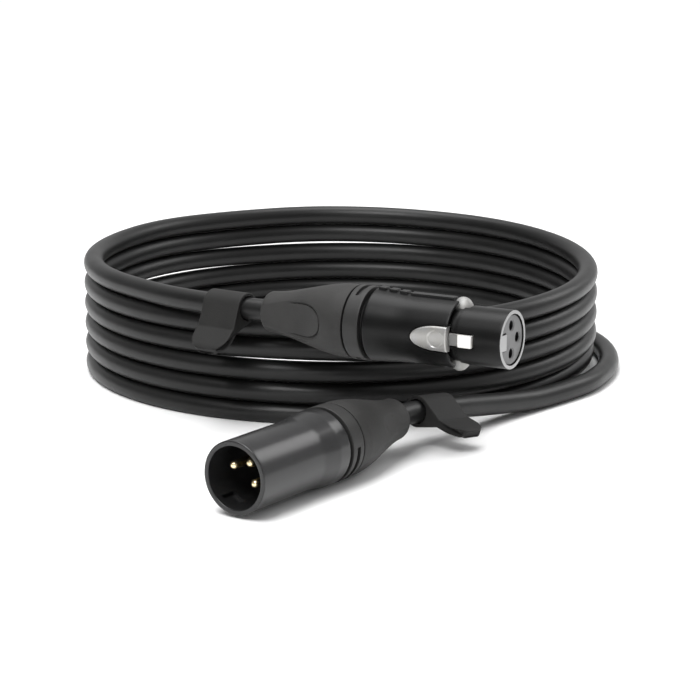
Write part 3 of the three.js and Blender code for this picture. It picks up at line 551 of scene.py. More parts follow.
SATIN_NICKEL = SatinNickelFinish(
    "satin_nickel",
    Slot.NICKEL,
    (0.40, 0.398, 0.392),
    0.36,
    metallic=0.7,
    gloss_spread=0.07,
    reliefs=BLASTED_SKIN,
)
# The latch's nickel, made paler as a painted highlight for the hook that stands above the barrel.
PAINTED_HIGHLIGHT_NICKEL = SatinNickelFinish(
    "painted_highlight_nickel",
    Slot.NICKEL,
    (0.93, 0.925, 0.91),
    0.26,
    metallic=0.35,
    gloss_spread=0.05,
    reliefs=(Relief(Grain.NOISE, 7800.0, 0.000006),),
)
# The latch's nickel, made darker as painted shade for the tongue down in its slot.
PAINTED_SHADE_NICKEL = SatinNickelFinish(
    "painted_shade_nickel",
    Slot.NICKEL,
    (0.20, 0.20, 0.197),
    0.45,
    metallic=0.5,
    reliefs=BLASTED_SKIN,
)
CLIP_METAL = SatinNickelFinish(
    "clip_metal",
    Slot.NICKEL,
    (0.30, 0.299, 0.295),
    0.50,
    metallic=0.4,
    reliefs=BLASTED_SKIN,
)
SPRING_STEEL = Finish(
    "spring_steel",
    Slot.SPRING,
    (0.62, 0.62, 0.63),
    0.28,
    metallic=1.0,
    reliefs=(Relief(Grain.LINES, 1800.0, 0.000008, (1.0, 1.0, 6.0)),),
)
GOLD = Finish(
    "gold_plate",
    Slot.GOLD,
    (0.95, 0.80, 0.50),
    0.26,
    metallic=1.0,
    mottle=0.08,
    reliefs=(Relief(Grain.LINES, 2200.0, 0.000006, (1.0, 1.0, 5.0)),),
)
TAG_RUBBER = Finish(
    "tag_rubber",
    Slot.TAG,
    (0.0125, 0.0122, 0.0118),
    0.62,
    mottle=0.1,
    gloss_spread=0.05,
    specular=0.28,
    reliefs=(Relief(Grain.PEBBLE, 3400.0, 0.00003), Relief(Grain.NOISE, 8200.0, 0.000015)),
)
ACETAL = Finish("acetal", Slot.ACETAL, (0.72, 0.71, 0.66), 0.42, mottle=0.05)
COPPER = TwistedWireFinish("bare_copper", Slot.COPPER, (0.78, 0.42, 0.26), 0.32, metallic=1.0)
RED_INSULATION = Finish("red_insulation", Slot.RED, (0.42, 0.02, 0.03), 0.4)
WHITE_INSULATION = Finish(
    "white_insulation", Slot.WHITE, (0.78, 0.77, 0.72), 0.42, mottle=0.05
)


# ---------------------------------------------------------------------------
# Mesh making
# ---------------------------------------------------------------------------


def smoothstep(low: float, high: float, value: float) -> float:
    """Eases from 0 at low to 1 at high."""
    share = min(max((value - low) / (high - low), 0.0), 1.0)
    return share * share * (3 - 2 * share)


def smooth_least(first: float, second: float, blend: float) -> float:
    """Returns the lesser number, with the change-over rounded while they are a blend apart."""
    share = max(blend - abs(first - second), 0.0) / blend
    return min(first, second) - share * share * blend / 4


class Form:
    """A surface in the making, in millimetres: its points and its faces."""

    def __init__(self) -> None:
        """Starts an empty form."""
        self.points: list[Vector] = []
        self.faces: list[tuple[int, ...]] = []

    def add_rings(
        self, rings: Sequence[Ring], looped: bool = False, capped: bool = False
    ) -> "Form":
        """Adds a skin over closed rings of as many points each.

        Args:
            rings: The rings, in order.
            looped: Whether the last ring joins the first.
            capped: Whether the first and last rings are filled in.

        Returns:
            This form.
        """
        start = len(self.points)
        count = len(rings[0])
        for ring in rings:
            self.points.extend(ring)
        last = len(rings) if looped else len(rings) - 1
        for row in range(last):
            here = start + row * count
            there = start + ((row + 1) % len(rings)) * count
            for k in range(count):
                after = (k + 1) % count
                self.faces.append((here + k, here + after, there + after, there + k))
        if capped:
            self.faces.append(tuple(start + k for k in reversed(range(count))))
            tail = start + (len(rings) - 1) * count
            self.faces.append(tuple(tail + k for k in range(count)))
        return self

    def add(self, other: "Form") -> "Form":
        """Adds the points and faces of another form.

        Args:
            other: The form to add.

        Returns:
            This form.
        """
        start = len(self.points)
        self.points.extend(other.points)
        self.faces.extend(tuple(start + k for k in face) for face in other.faces)
        return self

    def moved(self, change: Matrix) -> "Form":
        """Moves the form by a matrix and returns it."""
        self.points = [change @ point for point in self.points]
        return self

    def mesh(self, name: str) -> bpy.types.Mesh:
        """Makes a mesh of the form, still in millimetres.

        Args:
            name: The mesh's name.

        Returns:
            The mesh, with its faces turned outwards.
        """
        work = bmesh.new()
        corners = [work.verts.new(point) for point in self.points]
        for face in self.faces:
            if len(set(face)) > 2:
                work.faces.new([corners[k] for k in face])
        bmesh.ops.remove_doubles(work, verts=work.verts, dist=1e-5)
        bmesh.ops.dissolve_degenerate(work, edges=work.edges, dist=1e-6)
        loose = [edge for edge in work.edges if edge.is_wire]
        bmesh.ops.delete(work, geom=loose, context="EDGES")
        bmesh.ops.delete(work, geom=[v for v in work.verts if not v.link_faces], context="VERTS")
        bmesh.ops.recalc_face_normals(work, faces=work.faces)
        mesh = bpy.data.meshes.new(name)
        work.to_mesh(mesh)
        work.free()
        return mesh


def softened(corners: Sequence[Corner], steps: int = 4) -> Profile:
    """Rounds the corners of a closed profile.

    Args:
        corners: Each corner as (along, radius, setback of its rounding).
        steps: The steps of each rounding.

    Returns:
        The profile's points.
    """
    points: Profile = []
    count = len(corners)
    for i, (along, radius, setback) in enumerate(corners):
        here = Vector((along, radius))
        if setback <= 0:
            points.append((along, radius))
            continue
        before = Vector(corners[i - 1][:2]) - here
        after = Vector(corners[(i + 1) % count][:2]) - here
        enter = here + before.normalized() * min(setback, before.length * 0.49)
        leave = here + after.normalized() * min(setback, after.length * 0.49)
        for k in range(steps + 1):
            share = k / steps
            spot = enter * (1 - share) ** 2 + here * (2 * share * (1 - share)) + leave * share**2
            points.append((spot.x, spot.y))
    return points


def stepped(profile: Profile, longest: float) -> Profile:
    """Divides the long stretches of a closed profile.

    Args:
        profile: The profile.
        longest: The longest stretch to leave, in millimetres.

    Returns:
        The divided profile.
    """
    points: Profile = []
    for i, (along, radius) in enumerate(profile):
        next_along, next_radius = profile[(i + 1) % len(profile)]
        run, rise = next_along - along, next_radius - radius
        pieces = max(1, math.ceil(math.hypot(run, rise) / longest))
        shares = [k / pieces for k in range(pieces)]
        points += [(along + run * share, radius + rise * share) for share in shares]
    return points


def turned(
    profile: Profile,
    segments: int,
    shaped: Callable[[float, float, float], float] | None = None,
) -> Form:
    """Turns a closed profile round the X axis.

    Args:
        profile: Its (along, radius) points.
        segments: The steps of the turn.
        shaped: What changes a radius, from (along, angle from +Y, radius).

    Returns:
        The turned form.
    """
    rings = []
    for along, radius in profile:
        ring = []
        for k in range(segments):
            angle = 2 * math.pi * k / segments
            reach = radius if shaped is None else shaped(along, angle, radius)
            ring.append(Vector((along, reach * math.cos(angle), reach * math.sin(angle))))
        rings.append(ring)
    return Form().add_rings(rings, looped=True)


def rod(start: float, end: float, radius: float, segments: int) -> Form:
    """Returns a round rod along X."""
    return turned([(start, 0.0), (end, 0.0), (end, radius), (start, radius)], segments)


def block(low: Corner, high: Corner, edge: float = 0.0) -> Form:
    """Makes a block with rounded edges.

    Args:
        low: Its lowest corner.
        high: Its highest corner.
        edge: The width of its rounded edges.

    Returns:
        The block.
    """
    work = bmesh.new()
    bmesh.ops.create_cube(work, size=1.0)
    for vertex in work.verts:
        for axis in range(3):
            vertex.co[axis] = low[axis] + (high[axis] - low[axis]) * (vertex.co[axis] + 0.5)
    if edge > 0:
        bevel = {"offset": edge, "segments": 3, "profile": 0.5, "affect": "EDGES"}
        bmesh.ops.bevel(work, geom=work.edges[:], **bevel)
    form = Form()
    form.points = [vertex.co.copy() for vertex in work.verts]
    work.verts.index_update()
    form.faces = [tuple(vertex.index for vertex in face.verts) for face in work.faces]
    work.free()
    return form


def plate(outline: Sequence[Pair], low: float, high: float) -> Form:
    """Returns an outline of (x, z) points pushed through from one Y to another."""
    rings = [[Vector((x, y, z)) for x, z in outline] for y in (low, high)]
    return Form().add_rings(rings, capped=True)


def bezier(points: Sequence[Pair], steps: int) -> Profile:
    """Samples a cubic curve in a plane.

    Args:
        points: Its four control points.
        steps: The number of steps.

    Returns:
        The points on it, both ends included.
    """
    spots = []
    for k in range(steps + 1):
        t = k / steps
        weights = ((1 - t) ** 3, 3 * t * (1 - t) ** 2, 3 * t * t * (1 - t), t**3)
        spots.append(tuple(sum(w * p[n] for w, p in zip(weights, points)) for n in (0, 1)))
    return spots


def on_scene(name: str, data: bpy.types.ID) -> bpy.types.Object:
    """Puts a new object on the scene.

    Args:
        name: Its name.
        data: Its mesh, light or camera.

    Returns:
        The object.
    """
    item = bpy.data.objects.new(name, data)
    bpy.context.scene.collection.objects.link(item)
    return item


class Stock:
    """A temporary object that booleans work on, in millimetres."""

    def __init__(self, form: Form) -> None:
        """Puts a form on the scene."""
        self.item = on_scene("stock", form.mesh("stock"))

    def without(self, *tools: Form) -> "Stock":
        """Cuts forms out of this stock and returns it."""
        return self._combine("DIFFERENCE", tools)

    def joined(self, *tools: Form) -> "Stock":
        """Joins forms to this stock and returns it."""
        return self._combine("UNION", tools)

    def within(self, *tools: Form) -> "Stock":
        """Keeps only what lies inside other forms and returns this stock."""
        return self._combine("INTERSECT", tools)

    def _combine(self, operation: str, tools: Iterable[Form]) -> "Stock":
        """Runs one boolean for each tool.

        Args:
            operation: The kind of boolean.
            tools: The forms to combine with.

        Returns:
            This stock.
        """
        for tool in tools:
            other = Stock(tool)
            modifier = self.item.modifiers.new("combine", "BOOLEAN")
            modifier.operation = operation
            modifier.solver = "EXACT"
            modifier.object = other.item
            seen = self.item.evaluated_get(bpy.context.evaluated_depsgraph_get())
            result = bpy.data.meshes.new_from_object(seen)
            self.item.modifiers.clear()
            self.item.data = result
            bpy.data.objects.remove(other.item)
        return self

    def mesh(self, name: str) -> bpy.types.Mesh:
        """Removes the object and keeps its mesh.

        Args:
            name: The mesh's new name.

        Returns:
            The mesh.
        """
        mesh = self.item.data
        mesh.name = name
        bpy.data.objects.remove(self.item)
        return mesh

    def form(self) -> Form:
        """Removes the object and keeps its shape.

        Returns:
            The shape as a form.
        """
        mesh = self.mesh("tool")
        form = Form()
        form.points = [vertex.co.copy() for vertex in mesh.vertices]
        form.faces = [tuple(polygon.vertices) for polygon in mesh.polygons]
        bpy.data.meshes.remove(mesh)
        return form


def lathed(corners: Sequence[Corner], segments: int, longest: float, steps: int = 4) -> Stock:
    """Returns stock turned from rounded corners, divided into stretches of a greatest length."""
    return Stock(turned(stepped(softened(corners, steps), longest), segments))


def put(
    shape: Form | Stock,
    name: str,
    finish: Finish,
    stands_for: Sequence[str],
    place: Matrix = Matrix.Identity(4),
    body: Body = Body.LEAD,
    sharp_over: float = 38.0,
) -> bpy.types.Object:
    """Turns a shape in millimetres into a piece of the model.

    Args:
        shape: The shape, in its own coordinates. A cut one also gets its shading evened.
        name: The piece's name.
        finish: What it is made of.
        stands_for: The solids that it replaces.
        place: From its own coordinates to the model's, in millimetres.
        body: The body that it rides on.
        sharp_over: Edges that turn by more degrees than this stay sharp.

    Returns:
        The piece.
    """
    mesh = shape.mesh(name)
    mesh.transform(Matrix.Scale(MM, 4) @ place)
    mesh.shade_smooth()
    mesh.set_sharp_from_angle(angle=math.radians(sharp_over))
    mesh.materials.clear()
    mesh.materials.append(finish.material())
    piece = on_scene(name, mesh)
    if isinstance(shape, Stock):
        modifier = piece.modifiers.new("even_normals", "WEIGHTED_NORMAL")
        modifier.keep_sharp = True
        modifier.weight = 80
    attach(piece, body.value)
    if stands_for:
        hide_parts(*stands_for)
    log.info("%s: %d faces", name, len(mesh.polygons))
    return piece


def refinish(
    piece: bpy.types.Object, finish: Finish, place: Matrix, chosen: Callable[[Vector], bool]
) -> None:
    """Gives some of a piece's faces another finish.

    Args:
        piece: The piece.
        finish: The other finish.
        place: From the piece's own coordinates to the model's, in millimetres.
        chosen: Tells from the middle of a face, in those coordinates, whether it is one of them.
    """
    piece.data.materials.append(finish.material())
    inward = place.inverted()
    for polygon in piece.data.polygons:
        if chosen(inward @ (polygon.center / MM)):
            polygon.material_index = len(piece.data.materials) - 1


def contact_places(circle: float) -> Profile:
    """Returns the (y, z) places of the three contacts on a circle of this radius."""
    return [(0, circle), (0, -circle), (circle, 0)]


# ---------------------------------------------------------------------------
# Where things lie
# ---------------------------------------------------------------------------

LAYOUT_SHIFT = Vector((-3.653049, 46.412590, 0.0))  # from the coil's axis to the middle of the box


@dataclass(frozen=True)
class PlugPlace:
    """Where a plug lies: X runs from its boot's rear end to its mating face."""

    face: Corner  # the middle of its mating face, from the coil's axis
    heading: float  # the way it points, in degrees from +X
    length: float  # from the boot's rear end to the face
    roll: float = 0.0  # how far it is turned about its own axis, in degrees

    def along(self) -> Vector:
        """Returns the way the plug points."""
        turn = math.radians(self.heading)
        return Vector((math.cos(turn), math.sin(turn), 0.0))

    def rear(self) -> Vector:
        """Returns the middle of the boot's rear end, in the model."""
        return Vector(self.face) + LAYOUT_SHIFT - self.along() * self.length

    def matrix(self, extra_roll: float = 0.0) -> Matrix:
        """Returns the way from the plug's own coordinates to the model's.

        Args:
            extra_roll: A further turn about the plug's axis, in degrees.

        Returns:
            The matrix, in millimetres.
        """
        facing = Matrix.Rotation(math.radians(self.heading), 4, "Z")
        rolled = Matrix.Rotation(math.radians(self.roll + extra_roll), 4, "X")
        return Matrix.Translation(self.rear()) @ facing @ rolled


# Stations along a plug, in millimetres from its boot's rear end.
BOOT_END = 28.8
RING_START = BOOT_END + 0.3
SHELL_START = 34.6
SHOULDER = 60.5
FEMALE_FACE = 75.6
MALE_FACE = 71.1

CONTACT_CIRCLE = 3.81
CLIP_ROLL = -7.0
MALE_BOOT_ROLL = -42.0

FEMALE_PLACE = PlugPlace((46.0, -123.1, 34.87), -29.15, FEMALE_FACE)
MALE_PLACE = PlugPlace((-25.8, -169.5, 10.3), -125.1, MALE_FACE, 60.5)


# ---------------------------------------------------------------------------
# The cable
# ---------------------------------------------------------------------------


@dataclass(frozen=True)
class Cable:
    """The whole cable from boot to boot: six stacked turns and a free stretch at each end."""

    diameter: float = 6.3  # the jacket's diameter
    pitch: float = 6.35  # from one turn to the next
    turns: int = 6  # the turns in the stack
    radius: float = 78.5  # of the coil's centre line
    lowest: float = 2.52  # the height of the lowest turn's centre, which is pressed flat below
    start: float = 53.0  # where the top turn leaves, in degrees from the front by way of the left
    end: float = 300.0  # where the outer loop leaves on the lowest turn
    drop_from: float = 189.0  # a turn lies level up to here, and then drops one pitch by the front
    # how far the lowest turn swings out, and between which angles
    swing: Corner = (7.3, 168.0, 270.0)
    # how far the lowest turn rises again, and between which angles
    rise: Corner = (0.63, 270.0, 300.0)
    # how far the turn above tucks in, about which angle, over which half span
    tuck: Corner = (2.0, 320.0, 70.0)
    # where a gap shows between turns: after how many turns, its middle angle, its half span and
    # its width
    slack: tuple[tuple[int, float, float, float], ...] = (
        (2, 172.0, 36.0, 0.5),
        (3, 130.0, 30.0, 0.5),
        (3, 11.0, 24.0, 0.34),
    )
    knot_step: float = 7.5  # from one knot of the coil to the next, in degrees
    line_step: float = 2.6  # from one point of the centre line to the next, about
    straight: float = 6.3  # the straight stretch behind each boot
    inside: float = 1.5  # how far the cable runs on inside each boot
    # where the free stretch to the female plug passes
    female_points: tuple[Corner, ...] = (
        (-50.7, -62.2, 34.4),
        (-41.9, -70.8, 34.6),
        (-32.2, -78.5, 34.8),
    )
    # where the free stretch to the male plug passes
    male_points: tuple[Corner, ...] = (
        (58.6, -61.4, 3.3),
        (50.6, -70.2, 4.4),
        (42.0, -79.6, 6.0),
        (33.4, -89.4, 7.8),
    )
    sides: int = 28  # the sides of the tube
    foot: float = 0.02  # the height of the flat that it stands on

    def centre(self, angle: float) -> Vector:
        """Finds the middle of the coiled cable.

        Args:
            angle: In degrees from the front by way of the left, over all the turns.

        Returns:
            The point, from the coil's axis.
        """
        turn = min(int(angle // 360), self.turns - 1)
        within = angle - 360 * turn
        lowest = turn == self.turns - 1
        drop = 0.0 if lowest else smoothstep(self.drop_from, 360, within)
        height = self.lowest + self.pitch * (self.turns - 1 - turn - drop)
        reach = self.radius
        if lowest:
            height += self.rise[0] * smoothstep(self.rise[1], self.rise[2], within)
            reach += self.swing[0] * smoothstep(self.swing[1], self.swing[2], within)
        for turns_above, middle, half_span, width in self.slack:
            nearest = min(max(round((angle - middle) / 360), 0), turns_above - 1)
            height += width * (1 - smoothstep(0, half_span, abs(angle - middle - 360 * nearest)))
        from_tuck = abs(angle - (360 * (self.turns - 2) + self.tuck[1]))
        reach -= self.tuck[0] * (1 - smoothstep(0, self.tuck[2], from_tuck))
        turned_by = math.radians(angle)
        return Vector((-reach * math.sin(turned_by), -reach * math.cos(turned_by), height))

    def knots(self) -> list[Vector]:
        """Returns the points that the cable runs through, from the female boot to the male one."""
        last = 360 * (self.turns - 1) + self.end
        span = last - self.start
        steps = round(span / self.knot_step)
        coil = [self.centre(self.start + span * k / steps) for k in range(steps + 1)]
        first = self._lead(self.female_points, FEMALE_PLACE)
        final = self._lead(self.male_points, MALE_PLACE)
        return [*reversed(first), *coil, *final]

    def _lead(self, between: Sequence[Corner], plug: PlugPlace) -> list[Vector]:
        """Lays the free stretch from the coil to a boot.

        Args:
            between: The points that it passes on the way.
            plug: The plug that it runs to.

        Returns:
            Those points and the last two, of which one is inside the boot.
        """
        rear = plug.rear() - LAYOUT_SHIFT
        points = [Vector(point) for point in between]
        points.append(rear - plug.along() * self.straight)
        points.append(rear + plug.along() * self.inside)
        return points

    def line(self) -> list[Vector]:
        """Returns the cable's centre line, closely spaced, in the model."""
        knots = self.knots()
        last = len(knots) - 1
        line = []
        for i in range(last):
            around = tuple(knots[min(max(k, 0), last)] for k in range(i - 1, i + 3))
            pieces = max(2, round((knots[i + 1] - knots[i]).length / self.line_step))
            line.extend(self._between(around, k / pieces) for k in range(pieces))
        line.append(knots[-1])
        return [point + LAYOUT_SHIFT for point in line]

    @staticmethod
    def _between(around: tuple[Vector, Vector, Vector, Vector], share: float) -> Vector:
        """Finds a point of a smooth curve between two knots.

        Args:
            around: The knot before, the two knots, and the knot after.
            share: How far along it is, from 0 to 1.

        Returns:
            The point.
        """
        before, here, there, after = around
        gaps = [
            max(math.sqrt((b - a).length), 1e-4) if (b - a).length > 0 else 0.0
            for a, b in ((before, here), (here, there), (there, after))
        ]
        gaps[0] = gaps[0] or gaps[1]
        gaps[2] = gaps[2] or gaps[1]
        if before == here:
            before = here * 2 - there
        if after == there:
            after = there * 2 - here
        ahead = (there - here) / gaps[1]
        leave = (here - before) / gaps[0] - (there - before) / (gaps[0] + gaps[1]) + ahead
        enter = ahead - (after - here) / (gaps[1] + gaps[2]) + (after - there) / gaps[2]
        leave *= gaps[1]
        enter *= gaps[1]
        cubic = here * 2 - there * 2 + leave + enter
        square = there * 3 - here * 3 - leave * 2 - enter
        return here + leave * share + square * share**2 + cubic * share**3

    def build(self) -> bpy.types.Object:
        """Builds the cable as one tube.

        Returns:
            The cable.
        """
        line = self.line()
        radius = self.diameter / 2
        up = Vector((0, 0, 1))
        rings = []
        for i, point in enumerate(line):
            along = (line[min(i + 1, len(line) - 1)] - line[max(i - 1, 0)]).normalized()
            across = along.cross(up).normalized()
            above = across.cross(along)
            ring = []
            for k in range(self.sides):
                angle = 2 * math.pi * k / self.sides
                spot = point + (across * math.cos(angle) + above * math.sin(angle)) * radius
                spot.z = max(spot.z, self.foot)
                ring.append(spot)
            rings.append(ring)
        nodes = ["cable_coil", "cable_lead_female", "cable_lead_male"]
        return put(Form().add_rings(rings, capped=True), "cable", JACKET, nodes)

    def declare(self, piece: bpy.types.Object) -> None:
        """Args:
            piece: The cable; not used.
        """
        line = [point * MM for point in self.line()]
        length = sum((after - before).length for before, after in zip(line, line[1:]))
        log.info("cable: %.3f m long", length)


# ---------------------------------------------------------------------------
# Pieces that both plugs share
# ---------------------------------------------------------------------------


@dataclass(frozen=True)
class Boot:
    """The flared rubber boot, with a thumb recess on each side."""

    prefix: str  # the plug's name
    place: Matrix  # where it lies
    length: float = BOOT_END  # from its rear end to the ring
    rear_radius: float = 5.8  # at its rear end
    front_radius: float = 10.2  # at the ring
    corner: float = 1.8  # the rounding of its rear end
    edge: float = 0.2  # the rounding of its front rim
    shoulder: float = 3.2  # the straight stretch next to the ring
    ease: float = 2 / 3  # how much the flare eases in and out
    bore: float = 3.45  # the bore's radius round the cable
    throat: float = 8.4  # how far the narrow bore runs
    flare_bore: float = 5.4  # the bore's radius where it opens
    sleeve_start: float = 21.3  # where the ring's sleeve starts inside it
    sleeve_bore: float = 7.15  # round that sleeve
    thumb_floor: float = 4.95  # of the recess, from the axis
    thumb_flat: float = 6.4  # how far the recess runs level
    thumb_sweep: float = 27.5  # the radius by which it runs out
    thumb_blend: float = 0.12  # the softness of its edges
    thumb_lip: float = 0.35  # the depth of the step all round it
    thumb_crease: float = 0.65  # the depth of the narrow crease along that step
    lip_width: float = 0.3  # the depth below the recess's edge where the step is full
    crease_width: float = 0.24  # the depth where the crease is deepest, and half its width
    lip_fade: Pair = (1.2, 2.1)  # where step and crease fade in, in lengths of thumb_flat
    flare_steps: int = 120  # the steps of the flare
    corner_steps: int = 8  # the steps of the rear rounding
    shoulder_steps: int = 6  # the steps along the shoulder
    shoulder_step: float = 0.4  # the length of each
    rim_wall: float = 0.4  # the wall round the sleeve's bore, which the recess leaves alone
    least_facing: float = 0.05  # the recess ends where the cosine from its middle is this

    def outer(self) -> Profile:
        """Returns the outer profile, from the ring back to the cable."""
        waist = self.length - self.shoulder
        rim = self.length - self.edge
        flare = self.front_radius - self.rear_radius
        steps = range(1, self.shoulder_steps + 1)
        points = [(rim - k * self.shoulder_step, self.front_radius) for k in steps]
        for k in range(self.flare_steps + 1):
            share = 1 - k / self.flare_steps
            eased = share + (smoothstep(0, 1, share) - share) * self.ease
            along = self.corner + (waist - self.corner) * share
            points.append((along, self.rear_radius + flare * eased))
        for k in range(1, self.corner_steps + 1):
            turn = k / self.corner_steps * math.pi / 2
            along = self.corner * (1 - math.sin(turn))
            points.append((along, self.rear_radius - self.corner * (1 - math.cos(turn))))
        return points

    def profile(self) -> Profile:
        """Returns the whole closed profile."""
        inner = [
            (0.0, self.bore, 0.25),
            (self.throat, self.bore, 0.0),
            (self.sleeve_start, self.flare_bore, 0.0),
            (self.sleeve_start, self.sleeve_bore, 0.0),
            (self.length, self.sleeve_bore, 0.2),
            (self.length, self.front_radius, self.edge),
        ]
        bore_and_front = softened([*inner, (0.0, self.front_radius, 0.0)])[:-1]
        return [*bore_and_front, *self.outer()]

    def shaped(self, along: float, angle: float, radius: float) -> float:
        """Sinks the thumb recesses into a radius.

        Args:
            along: From the rear end.
            angle: From the plug's Y.
            radius: Of the turned boot there.

        Returns:
            The radius with the recess.
        """
        past = max(along - self.thumb_flat, 0.0)
        if radius <= self.thumb_floor - self.thumb_blend or past >= self.thumb_sweep:
            return radius
        floor = self.thumb_floor + self.thumb_sweep - math.sqrt(self.thumb_sweep**2 - past**2)
        facing = abs(math.cos(angle))
        inside = radius < self.sleeve_bore + self.rim_wall and along > self.sleeve_start
        if inside or facing < self.least_facing:
            return radius
        sunk = smooth_least(radius, floor / facing, self.thumb_blend)
        below = radius - floor / facing
        off_crease = abs(below - self.crease_width)
        lip = self.thumb_lip * smoothstep(0.0, self.lip_width, below)
        crease = self.thumb_crease * (1 - smoothstep(0.0, self.crease_width, off_crease))
        fade_from, fade_to = (share * self.thumb_flat for share in self.lip_fade)
        return sunk - smoothstep(fade_from, fade_to, along) * (lip + crease)

    def build(self) -> list[bpy.types.Object]:
        """Builds the boot.

        Returns:
            The boot, in a list.
        """
        form = turned(self.profile(), Steps.BOOT, self.shaped)
        nodes = [f"{self.prefix}_boot"]
        return [put(form, f"{self.prefix}_rubber_boot", BOOT_RUBBER, nodes, self.place)]


@dataclass(frozen=True)
class CollarRing:
    """The screwed ring between boot and shell, with a slot on two opposite sides."""

    prefix: str  # the plug's name
    place: Matrix  # where it lies
    start: float = RING_START  # from the boot's rear end
    length: float = 5.2  # of its visible rim
    # how far the rim's outer part stands back from the boot and from the shell
    relief: float = 0.3
    relief_floor: float = 8.6  # the radius down to which it does
    radius: float = 10.3  # of its rim
    edge: float = 0.2  # the rounding of its rim
    bore: float = 5.35  # round the chuck
    sleeve: float = 7.5  # how far its threaded sleeve runs into the boot
    sleeve_radius: float = 6.85  # of that sleeve
    slot_width: float = 1.5  # along the plug
    slot_depth: float = 0.8  # into the rim
    slot_span: float = 11.2  # across each slot
    slot_cut: Pair = (-6.0, 2.0)  # from and to where it is cut, from the rim

    def build(self) -> list[bpy.types.Object]:
        """Builds the ring.

        Returns:
            The ring, in a list.
        """
        end = self.start + self.length
        corners = [
            (self.start - self.sleeve, self.bore, 0.1),
            (end, self.bore, 0.2),
            (end, self.relief_floor, 0.0),
            (end - self.relief, self.relief_floor, 0.0),
            (end - self.relief, self.radius, self.edge),
            (self.start + self.relief, self.radius, self.edge),
            (self.start + self.relief, self.relief_floor, 0.0),
            (self.start, self.relief_floor, 0.0),
            (self.start, self.sleeve_radius, 0.0),
            (self.start - self.sleeve, self.sleeve_radius, 0.3),
        ]
        middle = self.start + self.length / 2
        floor = self.radius - self.slot_depth
        half = self.slot_width / 2
        outside = self.radius + 1
        groove = [(middle - half, floor), (middle + half, floor)]
        groove += [(middle + half, outside), (middle - half, outside)]
        span = self.slot_span / 2
        stock = lathed(corners, Steps.PLUG, 0.8)
        for side in (1, -1):
            low, high = sorted(side * (self.radius + reach) for reach in self.slot_cut)
            window = block((self.start, -span, low), (end, span, high))
            stock.without(Stock(turned(groove, Steps.PLUG)).within(window).form())
        nodes = [f"{self.prefix}_ring"]
        return [put(stock, f"{self.prefix}_collar_ring", RING_PLASTIC, nodes, self.place)]


# ---------------------------------------------------------------------------
# The female plug
# ---------------------------------------------------------------------------


@dataclass(frozen=True)
class Bullet:
    """The outline of the latch's button, in the plug's X and Z."""

    front: float = SHOULDER  # where its straight front edge lies
    length: float = 10.8  # from tip to front
    half_width: float = 3.4  # half its greatest width
    straight: float = 0.25  # the share of its length with straight sides
    narrowing: float = 0.7  # the share where its sides turn in
    blunt: float = 0.55  # the bluntness of its tip

    def side(self, grow: float = 0.0, steps: int = 40) -> Profile:
        """Follows one side from the tip to the front.

        Args:
            grow: How much wider the outline is than the button.
            steps: The steps of its curve.

        Returns:
            The (x, half width) points.
        """
        wide = self.half_width + grow
        tip = self.front - self.length - grow
        straight = self.front - self.length * self.straight
        narrowing = self.front - self.length * self.narrowing
        controls = [(tip, 0.0), (tip, wide * self.blunt), (narrowing, wide), (straight, wide)]
        return [*bezier(controls, steps), (self.front + grow, wide)]

    def outline(self, grow: float) -> Profile:
        """Returns the (x, z) points all round, as much wider than the button as asked."""
        side = self.side(grow)
        return [*side, *[(x, -z) for x, z in reversed(side[1:])]]


